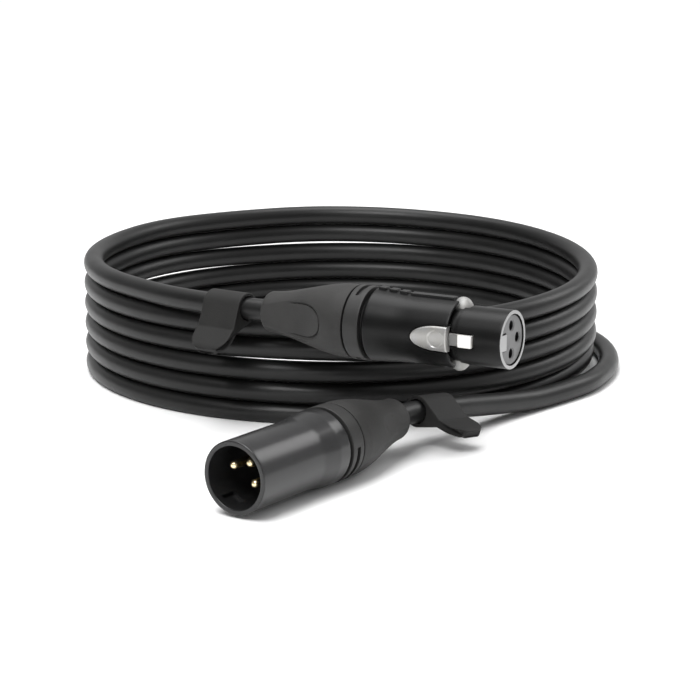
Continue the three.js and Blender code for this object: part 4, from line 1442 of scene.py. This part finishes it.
@dataclass(frozen=True)
class FemaleShell:
    """The female shell: a tapered body with a toothed rib, and a narrower barrel."""

    start: float = SHELL_START  # behind the ring
    shoulder: float = SHOULDER  # where the body ends and the barrel starts
    face: float = FEMALE_FACE  # the barrel's front rim
    rear_radius: float = 10.2  # of the body at the ring
    taper: float = 11.0  # how far the body tapers
    body_radius: float = 9.4  # of the body at the shoulder
    body_bore: float = 8.0  # inside the body
    barrel_radius: float = 7.95  # of the barrel
    barrel_bore: float = 6.95  # inside it
    bore_step: float = 57.1  # where the bore narrows
    neck: float = 1.8  # the length of the groove at the shoulder
    neck_radius: float = 7.55  # of that groove
    undercut: float = 0.9  # how far the body's front end is hollowed
    # how far the hollow's wall lies inside the body, at its bottom and at its rim
    hollow: Pair = (0.9, 0.6)
    rear_edge: float = 0.9  # the bevel at the ring
    rib_width: float = 2.6  # across the rib
    rib_height: float = 0.5  # above the body
    rib_start: float = 1.2  # where the first tooth starts, from the shell's rear end
    tooth: float = 2.3  # the length of a tooth
    tooth_gap: float = 0.95  # between teeth
    teeth: int = 3  # how many there are
    rib_run: float = 13.2  # the length of the plain part of the rib
    rib_root: float = 0.6  # how far outside the body's bore the rib starts
    rib_edge: float = 0.18  # the rounding of its edges
    well: float = 4.9  # the depth of the latch's window, from the axis
    latch_gap: float = 0.35  # the gap round the latch
    tongue: Pair = (6.9, 1.65)  # the tongue's slot in front of the shoulder, and its half width
    tongue_root: float = 3.6  # how far behind the shoulder that slot starts
    dome: Pair = (3.4, 2.8)  # half the size of the windows for the earthing domes
    dome_cut: Pair = (5.0, 12.0)  # how far from the axis those windows start and end
    clip_roll: float = CLIP_ROLL  # the turn of those windows
    # the lug in the key slot's mouth: its length, half width and floor from the axis
    lug: Corner = (3.0, 2.2, 3.8)
    bare: float = 0.14  # how far back from the face the rim is bare

    def radius_at(self, along: float) -> float:
        """Returns the body's outer radius at a place along it."""
        share = min(max((along - self.start) / self.taper, 0.0), 1.0)
        return self.rear_radius + (self.body_radius - self.rear_radius) * share

    def corners(self) -> list[Corner]:
        """Returns the corners of the closed profile of body and barrel."""
        return [
            (self.start, self.body_bore, 0.2),
            (self.bore_step, self.body_bore, 0.0),
            (self.bore_step, self.barrel_bore, 0.0),
            (self.face, self.barrel_bore, 0.12),
            (self.face, self.barrel_radius, 0.3),
            (self.shoulder + self.neck, self.barrel_radius, 0.12),
            (self.shoulder + self.neck, self.neck_radius, 0.1),
            (self.shoulder - self.undercut, self.neck_radius, 0.1),
            (self.shoulder - self.undercut, self.body_radius - self.hollow[0], 0.1),
            (self.shoulder, self.body_radius - self.hollow[1], 0.1),
            (self.shoulder, self.body_radius, 0.35),
            (self.start + self.taper, self.body_radius, 2.5),
            (self.start + self.rear_edge, self.rear_radius, 0.25),
            (self.start, self.rear_radius - self.rear_edge, 0.12),
        ]

    def ribs(self) -> list[Form]:
        """Returns the teeth and the run of the rib on the top."""
        bars = []
        start = self.start + self.rib_start
        half = self.rib_width / 2
        for length in (*[self.tooth] * self.teeth, self.rib_run):
            low = (start, -half, self.body_bore + self.rib_root)
            high = (start + length, half, self.radius_at(start) + self.rib_height)
            bars.append(block(low, high, self.rib_edge))
            start += length + self.tooth_gap
        return bars

    def windows(self) -> list[Form]:
        """Returns what is cut out for the latch and the earthing domes."""
        outside = -self.rear_radius - 1
        button = plate(Bullet().outline(self.latch_gap), outside, -self.well)
        reach, half = self.tongue
        width = half + self.latch_gap
        slot = block(
            (self.shoulder - self.tongue_root, outside, -width),
            (self.shoulder + reach + self.latch_gap, -self.well, width),
        )
        roll = Matrix.Rotation(math.radians(self.clip_roll), 4, "X")
        along, across = self.dome
        domes = []
        for side in (1, -1):
            low, high = sorted(side * reach for reach in self.dome_cut)
            corner = (self.shoulder + along, across, high)
            window = block((self.shoulder - along, -across, low), corner, 0.8)
            domes.append(window.moved(roll))
        return [button, slot, *domes]

    def build(self) -> None:
        """Builds the shell, its rib, its lug and its bare front rim."""
        length, half, floor = self.lug
        wall = self.barrel_radius - 0.5
        lug = block((self.face - length, -wall, -half), (self.face, -floor, half), 0.12)
        stock = lathed(self.corners(), Steps.PLUG, 0.7, 5)
        stock.without(*self.windows()).joined(lug, *self.ribs())
        place = FEMALE_PLACE.matrix()
        shell = put(stock, "female_plug_shell", BLACK_SHELL, ["female_shell"], place)
        refinish(shell, SHELL_RIM, place, lambda spot: spot.x > self.face - self.bare)


@dataclass(frozen=True)
class FemaleInsert:
    """The insert with its three contact holes, whose walls are painted black as shade, and the key
    slot.
    """

    front: float = 75.2  # its face
    length: float = 25.0  # from there back
    radius: float = 6.65  # in the barrel
    flange: float = 7.7  # the radius of its rear flange
    flange_end: float = 56.8  # where the flange ends
    groove: Corner = (57.1, 63.9, 5.85)  # where the earthing clip lies, from and to, and its floor
    circle: float = CONTACT_CIRCLE  # the radius of the circle of contacts
    hole: float = 1.35  # the radius of a hole's mouth
    hole_bevel: float = 0.35  # the bevel round it
    shade_start: float = 0.3  # how far behind the face the black painted shade on a hole's wall starts
    shade_margin: float = 0.05  # round a hole, where a face still counts as its wall for the painted shade
    hole_depth: float = 1.5  # how deep the narrow mouth is
    well: float = 1.8  # the wider hole behind the mouth
    slot_width: float = 5.0  # of the key slot
    slot_floor: float = 3.5  # from the axis
    # the flat under the latch: its distance from the axis, and where it ends
    latch_well: Pair = (4.9, SHOULDER)

    def build(self) -> None:
        """Builds the insert."""
        rear = self.front - self.length
        groove_start, groove_end, groove_floor = self.groove
        corners = [
            (rear, 0.0, 0.0),
            (self.front, 0.0, 0.0),
            (self.front, self.radius, 0.15),
            (groove_end, self.radius, 0.0),
            (groove_end, groove_floor, 0.0),
            (groove_start, groove_floor, 0.0),
            (groove_start, self.radius, 0.0),
            (self.flange_end, self.radius, 0.0),
            (self.flange_end, self.flange, 0.2),
            (rear, self.flange, 0.2),
        ]
        half = self.slot_width / 2
        outside = -self.flange - 1
        well_floor, well_end = self.latch_well
        tools = [
            block((rear - 1, outside, -half), (self.front + 1, -self.slot_floor, half)),
            block((rear - 1, outside, outside), (well_end, -well_floor, -outside)),
        ]
        mouth = self.front - self.hole_depth
        hole = [
            (rear - 1, 0.0),
            (self.front + 1, 0.0),
            (self.front + 1, self.hole + self.hole_bevel),
            (self.front - 0.01, self.hole + self.hole_bevel),
            (self.front - self.hole_bevel, self.hole),
            (mouth, self.hole),
            (mouth, self.well),
            (rear - 1, self.well),
        ]
        centres = contact_places(self.circle)
        shifts = [Matrix.Translation((0, y, z)) for y, z in centres]
        tools += [turned(hole, Steps.HOLE).moved(shift) for shift in shifts]
        stock = lathed(corners, Steps.INSERT, 1.6).without(*tools)
        place = FEMALE_PLACE.matrix()
        piece = put(stock, "female_contact_insert", GREY_INSERT, ["female_insert"], place)
        reach = self.hole + self.shade_margin

        def in_hole_shade(spot: Vector) -> bool:
            """Tells whether a face lies on a hole's wall, which is painted black as shade."""
            near = (math.hypot(spot.y - y, spot.z - z) < reach for y, z in centres)
            return spot.x < self.front - self.shade_start and any(near)

        # Painted shade: the hole walls get the black finish to stand in for the shade deep in the
        # holes.
        refinish(piece, BLACK_INSERT, place, in_hole_shade)


@dataclass(frozen=True)
class Latch:
    """The latch: a bullet-shaped button with a thumb dimple, a tongue, a hook and a rear toe."""

    top: float = 9.75  # the radius of the button's top
    under: float = 7.85  # the radius of its underside
    edge: float = 0.4  # the rounding of its rim
    # the radius of the dimple, its depth and its place behind the front
    dimple: Corner = (2.3, 0.3, 3.25)
    dimple_rim: Pair = (0.09, 0.12)  # how far outside and inside that radius its rim runs
    dimple_bowl: float = 0.2  # the share of its depth by which its floor is hollow
    side_steps: int = 60  # the rows of points along the curve of its sides
    front_steps: int = 18  # the rows along its straight front
    columns: int = 60  # the steps across it
    crowding: float = 1.25  # how much closer its points lie towards its sides
    tip: float = 0.03  # half its width at the row that closes its tip
    tongue_half: float = 1.65  # half the tongue's width
    tongue_top: float = 7.8  # the radius of the tongue's top
    tongue_under: float = 6.8  # the radius of its underside
    tongue_end: float = 67.4  # where it ends
    bridge: Pair = (56.9, 8.48)  # where the tongue's root starts under the button, and its top
    hook: Pair = (63.0, 8.75)  # where the hook starts, and its top
    hook_lean: float = 0.55  # how far its rear face leans
    # the toe's box, from and to, in X, and its Y range and half width
    toe: tuple[float, float, float, float, float] = (47.9, 53.3, -7.61, -6.71, 1.2)
    toe_neck: float = 1.8  # the length of what joins it to the button

    def button(self) -> Form:
        """Returns the button."""
        bullet = Bullet()
        side = bullet.side(0.0, self.side_steps)
        rows = [row for row in side[:-1] if row[1] > self.tip]
        straight_from = rows[-1][0]
        straight = bullet.front - straight_from
        for k in range(1, self.front_steps + 1):
            rows.append((straight_from + straight * k / self.front_steps, bullet.half_width))
        columns = self.columns
        tops, bottoms = [], []
        for i, (along, half) in enumerate(rows):
            before, after = rows[max(i - 1, 0)], rows[min(i + 1, len(rows) - 1)]
            slope = (after[1] - before[1]) / max(after[0] - before[0], 1e-6)
            lean = 1 / math.sqrt(1 + slope * slope)
            for k in range(columns + 1):
                share = 2 * k / columns - 1
                across = half * math.copysign(1 - (1 - abs(share)) ** self.crowding, share)
                inward = min((half - abs(across)) * lean, bullet.front - along)
                drop = self.edge_drop(inward) + self.dimple_drop(bullet.front - along, across)
                tops.append(Vector((along, -math.sqrt(self.top**2 - across**2) + drop, across)))
                bottoms.append(Vector((along, -math.sqrt(self.under**2 - across**2), across)))
        return self._closed(tops, bottoms, len(rows), columns + 1)

    def edge_drop(self, inward: float) -> float:
        """Rounds the rim of the button.

        Args:
            inward: How far a point lies inside the button's edge.

        Returns:
            How far it lies below the button's top.
        """
        if inward >= self.edge:
            return 0.0
        return self.edge * (1 - math.sqrt(max(1 - (1 - inward / self.edge) ** 2, 0.0)))

    def dimple_drop(self, behind: float, across: float) -> float:
        """Sinks the dimple.

        Args:
            behind: How far a point lies behind the bullet's front.
            across: Its place across the button.

        Returns:
            How far it lies below the button's top.
        """
        radius, depth, place = self.dimple
        away = math.hypot(behind - place, across)
        outside, inside = self.dimple_rim
        bowl = depth * (1 - self.dimple_bowl + self.dimple_bowl * smoothstep(radius, 0.2, away))
        return bowl * smoothstep(radius + outside, radius - inside, away)

    @staticmethod
    def _closed(tops: list[Vector], bottoms: list[Vector], rows: int, columns: int) -> Form:
        """Joins two sheets of points into one closed form.

        Args:
            tops: The upper sheet, row by row.
            bottoms: The lower sheet.
            rows: How many rows each has.
            columns: How many points a row has.

        Returns:
            The closed form.
        """
        form = Form()
        form.points = [*tops, *bottoms]
        lower = len(tops)
        for i in range(rows - 1):
            for k in range(columns - 1):
                a = i * columns + k
                b = a + columns
                form.faces.append((a, a + 1, b + 1, b))
                form.faces.append((lower + a, lower + b, lower + b + 1, lower + a + 1))
        rim = list(range(columns))
        rim += [i * columns + columns - 1 for i in range(1, rows)]
        rim += [(rows - 1) * columns + k for k in reversed(range(columns - 1))]
        rim += [i * columns for i in reversed(range(1, rows - 1))]
        for n, here in enumerate(rim):
            there = rim[(n + 1) % len(rim)]
            form.faces.append((here, lower + here, lower + there, there))
        return form

    def build(self) -> None:
        """Builds the latch as one piece, with painted shade on its tongue and a painted highlight
        on its hook.
        """
        form = self.button()
        half = self.tongue_half
        under = -self.tongue_under
        root, bridge = self.bridge
        front = Bullet().front
        form.add(block((root, -self.tongue_top, -half), (self.tongue_end, under, half), 0.12))
        form.add(block((root, -bridge, -half), (front, under, half), 0.05))
        start, top = self.hook
        ramp = [
            (start, under - 0.2),
            (start, -self.tongue_top),
            (start + self.hook_lean, -top),
            (self.tongue_end, -top),
            (self.tongue_end, under - 0.2),
        ]
        wedge = [[Vector((x, y, z)) for x, y in ramp] for z in (-half, half)]
        form.add(Form().add_rings(wedge, capped=True))
        near, far, toe_top, toe_under, toe_half = self.toe
        form.add(block((near, toe_top, -toe_half), (far, toe_under, toe_half), 0.1))
        neck = far - self.toe_neck
        form.add(block((neck, -bridge, -toe_half), (far, toe_under, toe_half), 0.05))
        place = FEMALE_PLACE.matrix()
        nodes = ["female_latch"]
        latch = put(form, "female_latch_button", SATIN_NICKEL, nodes, place, Body.LATCH, 30.0)
        # Painted shade on the tongue down in its slot.
        refinish(latch, PAINTED_SHADE_NICKEL, place, lambda spot: front + 0.05 < spot.x < start + 0.1)
        # Painted highlight on the hook that stands above the barrel.
        refinish(latch, PAINTED_HIGHLIGHT_NICKEL, place, lambda spot: spot.x > start + 0.1)


@dataclass(frozen=True)
class EarthingClip:
    """The sprung ring whose two domes earth the shell of the mating plug."""

    middle: float = SHOULDER  # where it lies along the plug
    width: float = 6.2  # along the plug
    inner: float = 6.15  # its inner radius
    outer: float = 6.65  # its outer radius
    roll: float = CLIP_ROLL  # its turn about the axis
    opening: float = 9.6  # across its gap
    dome: Pair = (3.1, 2.5)  # a dome's half length and half width
    dome_top: float = 10.0  # the radius of a dome's top
    dome_sunk: float = 0.1  # how far its foot lies in the ring
    dome_steps: tuple[int, int] = (24, 48)  # the steps up a dome and round it

    def build(self) -> None:
        """Builds the ring and its domes."""
        half = self.width / 2
        near, far = (Vector((self.middle + side * half, 0, 0)) for side in (-1, 1))
        edges = [(near, self.inner), (far, self.inner), (far, self.outer), (near, self.outer)]
        gap = math.asin(self.opening / 2 / self.outer)
        steps = Steps.INSERT
        rings = []
        for k in range(steps + 1):
            angle = -math.pi + gap + (2 * math.pi - 2 * gap) * k / steps
            way = Vector((0, math.cos(angle), math.sin(angle)))
            rings.append([edge + way * radius for edge, radius in edges])
        form = Form().add_rings(rings, capped=True)
        for side in (1, -1):
            form.add(self.dome_form(side))
        form.moved(Matrix.Rotation(math.radians(self.roll), 4, "X"))
        nodes = ["female_earthing_clip"]
        put(form, "female_earthing_ring", CLIP_METAL, nodes, FEMALE_PLACE.matrix())

    def dome_form(self, side: int) -> Form:
        """Returns one dome.

        Args:
            side: 1 for the plug's +Z side, and -1 for the other.

        Returns:
            The dome, closed below.
        """
        foot = self.inner + self.dome_sunk
        rise = self.dome_top - foot
        bands, around = self.dome_steps
        rings = []
        for i in range(bands + 1):
            lift = math.pi / 2 * i / bands
            ring = []
            for k in range(around):
                turn = 2 * math.pi * k / around * side
                x = self.middle + self.dome[0] * math.cos(lift) * math.cos(turn)
                y = self.dome[1] * math.cos(lift) * math.sin(turn)
                ring.append(Vector((x, y, side * (foot + rise * math.sin(lift)))))
            rings.append(ring)
        return Form().add_rings(rings, capped=True)


# ---------------------------------------------------------------------------
# The male plug
# ---------------------------------------------------------------------------


@dataclass(frozen=True)
class MaleShell:
    """The male shell: a stepped collar, and a wide mouth round the pins."""

    start: float = SHELL_START  # behind the ring
    taper_start: float = 39.6  # where the collar ends
    taper_end: float = 45.6  # where the straight front starts
    mouth: float = MALE_FACE  # its front rim
    rear_radius: float = 10.25  # of the collar
    front_radius: float = 9.5  # of the front
    rear_bore: float = 7.6  # behind the insert
    bore: float = 8.15  # of the mouth
    floor: float = 50.7  # the bottom of the mouth
    insert: float = 7.0  # how deep the insert's seat is
    rear_edge: float = 0.9  # the bevel at the ring
    ridge: Corner = (1.8, 1.1, 5.0)  # the key ridge's half width, height and length
    # the blind catch for the other plug's hook, from and to, its floor and half width
    catch: tuple[float, float, float, float] = (63.85, 68.95, 8.95, 2.0)

    def build(self) -> list[bpy.types.Object]:
        """Builds the shell and its ridge.

        Returns:
            Both pieces.
        """
        seat = self.floor - self.insert
        corners = [
            (self.start, self.rear_bore, 0.2),
            (seat, self.rear_bore, 0.0),
            (seat, self.bore, 0.0),
            (self.mouth, self.bore, 0.35),
            (self.mouth, self.front_radius, 0.4),
            (self.taper_end, self.front_radius, 0.9),
            (self.taper_start, self.rear_radius, 0.5),
            (self.start + self.rear_edge, self.rear_radius, 0.25),
            (self.start, self.rear_radius - self.rear_edge, 0.12),
        ]
        near, far, deep, half = self.catch
        catch = block((near, -deep, -half), (far, 1 - self.bore, half))
        stock = lathed(corners, Steps.MOUTH, 0.7, 6).without(catch)
        width, height, length = self.ridge
        top = (self.floor + length, height - self.bore, width)
        ridge = block((self.floor, -self.bore - 0.5, -width), top, 0.2)
        place = MALE_PLACE.matrix()
        return [
            put(stock, "male_plug_shell", BLACK_CHROME, ["male_shell"], place),
            put(ridge, "male_key_ridge", BLACK_CHROME, [], place),
        ]


@dataclass(frozen=True)
class MaleInsert:
    """The male insert and its three pins."""

    rear: float = 44.0  # the insert's rear face
    front: float = 50.4  # its front face
    radius: float = 7.85  # its radius
    circle: float = CONTACT_CIRCLE  # the radius of the circle of pins
    pin_radius: float = 1.2  # of a pin
    tip_length: float = 1.25  # of its rounded tip
    seat: float = 1.5  # round a pin
    tip: float = 67.7  # where the pins end
    # the solder cup's start, radius, bore and depth
    cup: tuple[float, float, float, float] = (40.2, 1.25, 0.85, 2.4)
    cup_end: float = 44.7  # where the cup meets the pin

    def build(self) -> list[bpy.types.Object]:
        """Builds the insert and the pins.

        Returns:
            All four pieces.
        """
        place = MALE_PLACE.matrix()
        corners = [
            (self.rear, 0.0, 0.0),
            (self.front, 0.0, 0.0),
            (self.front, self.radius, 0.3),
            (self.rear, self.radius, 0.2),
        ]
        shifts = [Matrix.Translation((0, y, z)) for y, z in contact_places(self.circle)]
        stock = lathed(corners, Steps.INSERT, 1.6)
        for shift in shifts:
            stock.without(rod(self.rear - 1, self.front + 1, self.seat, Steps.HOLE).moved(shift))
        pieces = [put(stock, "male_pin_insert", BLACK_INSERT, ["male_insert"], place)]
        for i, shift in enumerate(shifts, 1):
            name, nodes = f"male_contact_pin_{i}", [f"male_pin_{i}"]
            pieces.append(put(self.pin(), name, GOLD, nodes, place @ shift))
        return pieces

    def pin(self) -> Form:
        """Returns one pin, with its rounded tip and its solder cup."""
        start, radius, bore, depth = self.cup
        floor = start + depth
        profile = [(start, bore), (floor, bore), (floor, 0.0), (self.tip, 0.0)]
        steps = 10
        for k in range(1, steps + 1):
            turn = k / steps * math.pi / 2
            back = self.tip_length * (1 - math.cos(turn))
            profile.append((self.tip - back, self.pin_radius * math.sin(turn) ** 0.9))
        profile += [(self.cup_end, self.pin_radius), (self.cup_end, radius), (start, radius)]
        return turned(profile, Steps.HOLE)


# ---------------------------------------------------------------------------
# Tags
# ---------------------------------------------------------------------------


@dataclass(frozen=True)
class Tag:
    """A rubber tag: a strap round the cable whose ends are laid together as a flap."""

    node: str  # the solid that it replaces
    body: Body  # the body that it rides on
    centre: Corner  # the middle of its strap, in the model
    along: Corner  # the strap's axis, towards the plug
    across: Corner  # the tag's own Y
    width: float = 13.0  # along the cable
    inner: float = 3.5  # the strap's inner radius
    strap: float = 0.9  # the strap's thickness
    flap: float = 2.3  # the flap's thickness
    reach: float = 16.0  # from the cable's axis to the flap's end
    root: float = 8.0  # where the strap's two sides have come together
    end_radius: float = 5.2  # of the flap's corners
    edge: float = 0.38  # the rounding of its edges
    edge_share: float = 0.8  # how much of it lies across the tag
    crowding: float = 1.8  # how much closer its sections lie towards its sides

    def matrix(self) -> Matrix:
        """Returns the way from the tag's own coordinates to the model's."""
        x = Vector(self.along).normalized()
        y = Vector(self.across).normalized()
        z = x.cross(y)
        turn = Matrix((x, y, z)).transposed().to_4x4()
        return Matrix.Translation(self.centre) @ turn

    def section(self, inset: float) -> Profile:
        """Follows the tag's outer outline in its Y and Z.

        Args:
            inset: How far inside the outline.

        Returns:
            The (y, z) points, from the small lips at the flap's end and back to them.
        """
        outer = self.inner + self.strap - inset
        flat = self.flap / 2 - inset
        end = -self.reach + inset
        reach = math.hypot(flat, self.root)
        touch = math.atan2(-self.root, flat) + math.acos(outer / reach)
        bend = self.edge
        lip_steps, rise_steps, round_steps = 4, 10, 64
        turns = [k / lip_steps * math.pi / 2 for k in range(lip_steps + 1)]
        lip = [(bend * (1 - math.sin(t)) - flat, end + bend * (1 - math.cos(t))) for t in turns]
        points = [*lip, *[(-y, z) for y, z in reversed(lip)]]
        low = end + bend
        rise = -self.root - low
        points += [(flat, low + rise * k / rise_steps) for k in range(1, rise_steps + 1)]
        for k in range(round_steps + 1):
            angle = touch + (math.pi - 2 * touch) * k / round_steps
            points.append((outer * math.cos(angle), outer * math.sin(angle)))
        points += [(-flat, -self.root - rise * k / rise_steps) for k in range(rise_steps)]
        return points

    def half_width(self, z: float) -> float:
        """Measures the tag across, with its rounded end.

        Args:
            z: The height to measure at.

        Returns:
            Half the width there.
        """
        half = self.width / 2
        past = (self.end_radius - self.reach) - z
        if past <= 0:
            return half
        share = min(past, self.end_radius)
        return half - self.end_radius + math.sqrt(max(self.end_radius**2 - share**2, 0.0))

    def build(self) -> None:
        """Builds the tag."""
        steps = 28
        half = self.width / 2
        rings = []
        for k in range(-steps, steps + 1):
            share = math.copysign(1 - (1 - abs(k) / steps) ** self.crowding, k)
            from_rim = half * (1 - abs(share))
            inset = 0.0
            if from_rim < self.edge:
                bend = 1 - math.sqrt(1 - (1 - from_rim / self.edge) ** 2)
                inset = self.edge * bend * self.edge_share
            section = self.section(inset)
            rings.append([Vector((share * self.half_width(z), y, z)) for y, z in section])
        bore = rod(-half - 1, half + 1, self.inner, Steps.BORE)
        stock = Stock(Form().add_rings(rings, capped=True)).without(bore)
        name, nodes = f"{self.node}_strap", [self.node]
        put(stock, name, TAG_RUBBER, nodes, self.matrix(), self.body, 50.0)


# ---------------------------------------------------------------------------
# Inner pieces that keep their solids
# ---------------------------------------------------------------------------

PLUGS = ("female", "male")
WIRES = (COPPER, RED_INSULATION, WHITE_INSULATION)
INNER_FINISHES: dict[str, Finish] = {
    **{f"{plug}_chuck": ACETAL for plug in PLUGS},
    **{f"{plug}_cable_tail": JACKET for plug in PLUGS},
    **{f"female_contact_{number}": GOLD for number in (1, 2, 3)},
    **{f"{plug}_conductor_{i}": wire for plug in PLUGS for i, wire in enumerate(WIRES, 1)},
    "female_latch_leaf": SPRING_STEEL,
}


def dress_inner_pieces() -> None:
    """Gives the solids that stay their finishes."""
    for node, finish in INNER_FINISHES.items():
        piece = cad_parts[node]
        piece.data.materials.clear()
        piece.data.materials.append(finish.material())
        log.info("%s: %s", node, finish.name)


# ---------------------------------------------------------------------------
# The studio
# ---------------------------------------------------------------------------


@dataclass(frozen=True)
class SoftLight:
    """A square soft light."""

    name: str  # its name
    spot: Corner  # where it hangs, in metres
    aim: Corner  # what it points at
    size: float  # its side
    power: float  # in watts

    def hang(self) -> None:
        """Hangs the light."""
        lamp = bpy.data.lights.new(self.name, "AREA")
        lamp.shape = "SQUARE"
        lamp.size = self.size
        lamp.energy = self.power
        item = on_scene(self.name, lamp)
        item.location = self.spot
        facing = Vector(self.aim) - Vector(self.spot)
        item.rotation_euler = facing.to_track_quat("-Z", "Y").to_euler()


@dataclass(frozen=True)
class Studio:
    """The pale floor, the white surroundings, the lights and the camera."""

    camera_spot: Corner = (-0.000803, -0.642687, 0.16266)  # in metres
    camera_down: float = 12.99  # how far it looks down, in degrees
    lens: float = 112.7  # in millimetres
    sensor: float = 36.0  # the width of the frame behind it
    # the least and the greatest strength of the surroundings as a light
    ambient: Pair = (0.17, 0.65)
    bright_side: Corner = (0.50, 0.66, 0.56)  # where they are brightest
    fade: Pair = (-0.4, 0.7)  # the cosines between which they go from dark to bright
    sun: float = 1.85  # the strength of the broad top light
    sun_width: float = 44.0  # its width in degrees
    sun_lean: Pair = (-12.0, -6.0)  # how far it leans to the back and to the left, in degrees
    floor_reach: float = 6.0  # half the side of the floor, in metres
    floor_drop: float = 0.00005  # how far the floor lies below the lead, in metres
    floor_tones: Pair = (0.92, 0.94)  # the darkest and the lightest tone of the floor
    # the soft lights
    lights: tuple[SoftLight, ...] = (
        SoftLight("key_light", (-0.30, -0.60, 0.95), (0.0, 0.0, 0.0), 0.6, 10.0),
        SoftLight("side_light", (0.80, 0.45, 0.62), (0.0, -0.05, 0.02), 0.45, 2.2),
        SoftLight("mouth_light", (-0.22, -0.80, 0.16), (-0.02, -0.12, 0.012), 0.12, 0.6),
    )

    def camera(self) -> None:
        """Sets up the camera."""
        lens = bpy.data.cameras.new("camera")
        lens.lens = self.lens
        lens.sensor_width = self.sensor
        lens.clip_start = 0.01
        item = on_scene("camera", lens)
        item.location = self.camera_spot
        item.rotation_euler = (math.radians(90 - self.camera_down), 0, 0)
        bpy.context.scene.camera = item

    def surroundings(self) -> None:
        """Makes the surroundings white to look at, and as a light brighter from behind right."""
        world = bpy.data.worlds.new("surroundings")
        bpy.context.scene.world = world
        graph = Graph(world, "Generated")
        aim = Vector(self.bright_side).normalized()
        product = {"operation": "DOT_PRODUCT"}
        facing = graph.node("ShaderNodeVectorMath", product, {0: graph.place, 1: aim[:]}, "Value")
        low, high = self.ambient
        strength = facing.between(*self.fade) * (high - low) + low
        white = (1, 1, 1, 1)
        seen = graph.node("ShaderNodeBackground", {}, {"Color": white, "Strength": 1.0})
        lit = graph.node("ShaderNodeBackground", {}, {"Color": white, "Strength": strength})
        looked_at = graph.node("ShaderNodeLightPath", {}, {}, "Is Camera Ray")
        graph.shown(
            graph.node("ShaderNodeMixShader", {}, {0: looked_at, 1: lit, 2: seen}),
            "ShaderNodeOutputWorld",
        )

    def floor(self) -> None:
        """Lays the pale floor."""
        mesh = bpy.data.meshes.new("floor")
        reach, height = self.floor_reach, -self.floor_drop
        corners = [(x * reach, y * reach, height) for x, y in ((-1, -1), (1, -1), (1, 1), (-1, 1))]
        mesh.from_pydata(corners, [], [(0, 1, 2, 3)])
        graph = Graph(bpy.data.materials.new("pale_floor"))
        tone = graph.mixed(graph.noise(6.0, 2.0), *(rgba((1, 1, 1), t) for t in self.floor_tones))
        matte = {"Base Color": tone, "Roughness": 0.9, "Specular IOR Level": 0.1}
        mesh.materials.append(graph.finished(matte))
        on_scene("floor", mesh)

    def build(self) -> None:
        """Builds the studio."""
        bpy.context.scene.view_settings.view_transform = "Standard"
        self.camera()
        self.surroundings()
        self.floor()
        sun = bpy.data.lights.new("top_light", "SUN")
        sun.energy = self.sun
        sun.angle = math.radians(self.sun_width)
        back, left = self.sun_lean
        item = on_scene("top_light", sun)
        item.rotation_euler = (math.radians(back), math.radians(left), 0)
        for light in self.lights:
            light.hang()


# ---------------------------------------------------------------------------
# The whole
# ---------------------------------------------------------------------------

FEMALE_TAG = Tag(
    "female_tag",
    Body.FEMALE_TAG,
    (-34.8835, -32.7463, 34.8043),
    (0.8067, -0.5909, 0.0115),
    (0.4172, 0.5555, -0.7193),
)
MALE_TAG = Tag(
    "male_tag",
    Body.MALE_TAG,
    (21.7843, -51.9167, 9.2779),
    (-0.6595, -0.7427, 0.1162),
    (0.2680, -0.0880, 0.9594),
)


def main() -> None:
    """Builds the studio and the lead."""
    logging.basicConfig(level=logging.INFO, format="%(name)s %(message)s")
    Studio().build()
    Boot("female", FEMALE_PLACE.matrix()).build()
    CollarRing("female", FEMALE_PLACE.matrix()).build()
    FemaleShell().build()
    FemaleInsert().build()
    Latch().build()
    EarthingClip().build()
    male_boot = MALE_PLACE.matrix(MALE_BOOT_ROLL)
    far_pieces = Boot("male", male_boot, thumb_floor=6.6, thumb_lip=0, thumb_crease=0).build()
    far_pieces += CollarRing("male", MALE_PLACE.matrix()).build()
    far_pieces += MaleShell().build()
    far_pieces += MaleInsert().build()
    cable = Cable()
    cable.declare(cable.build())
    FEMALE_TAG.build()
    MALE_TAG.build()
    dress_inner_pieces()


if __name__ == "__main__":
    main()
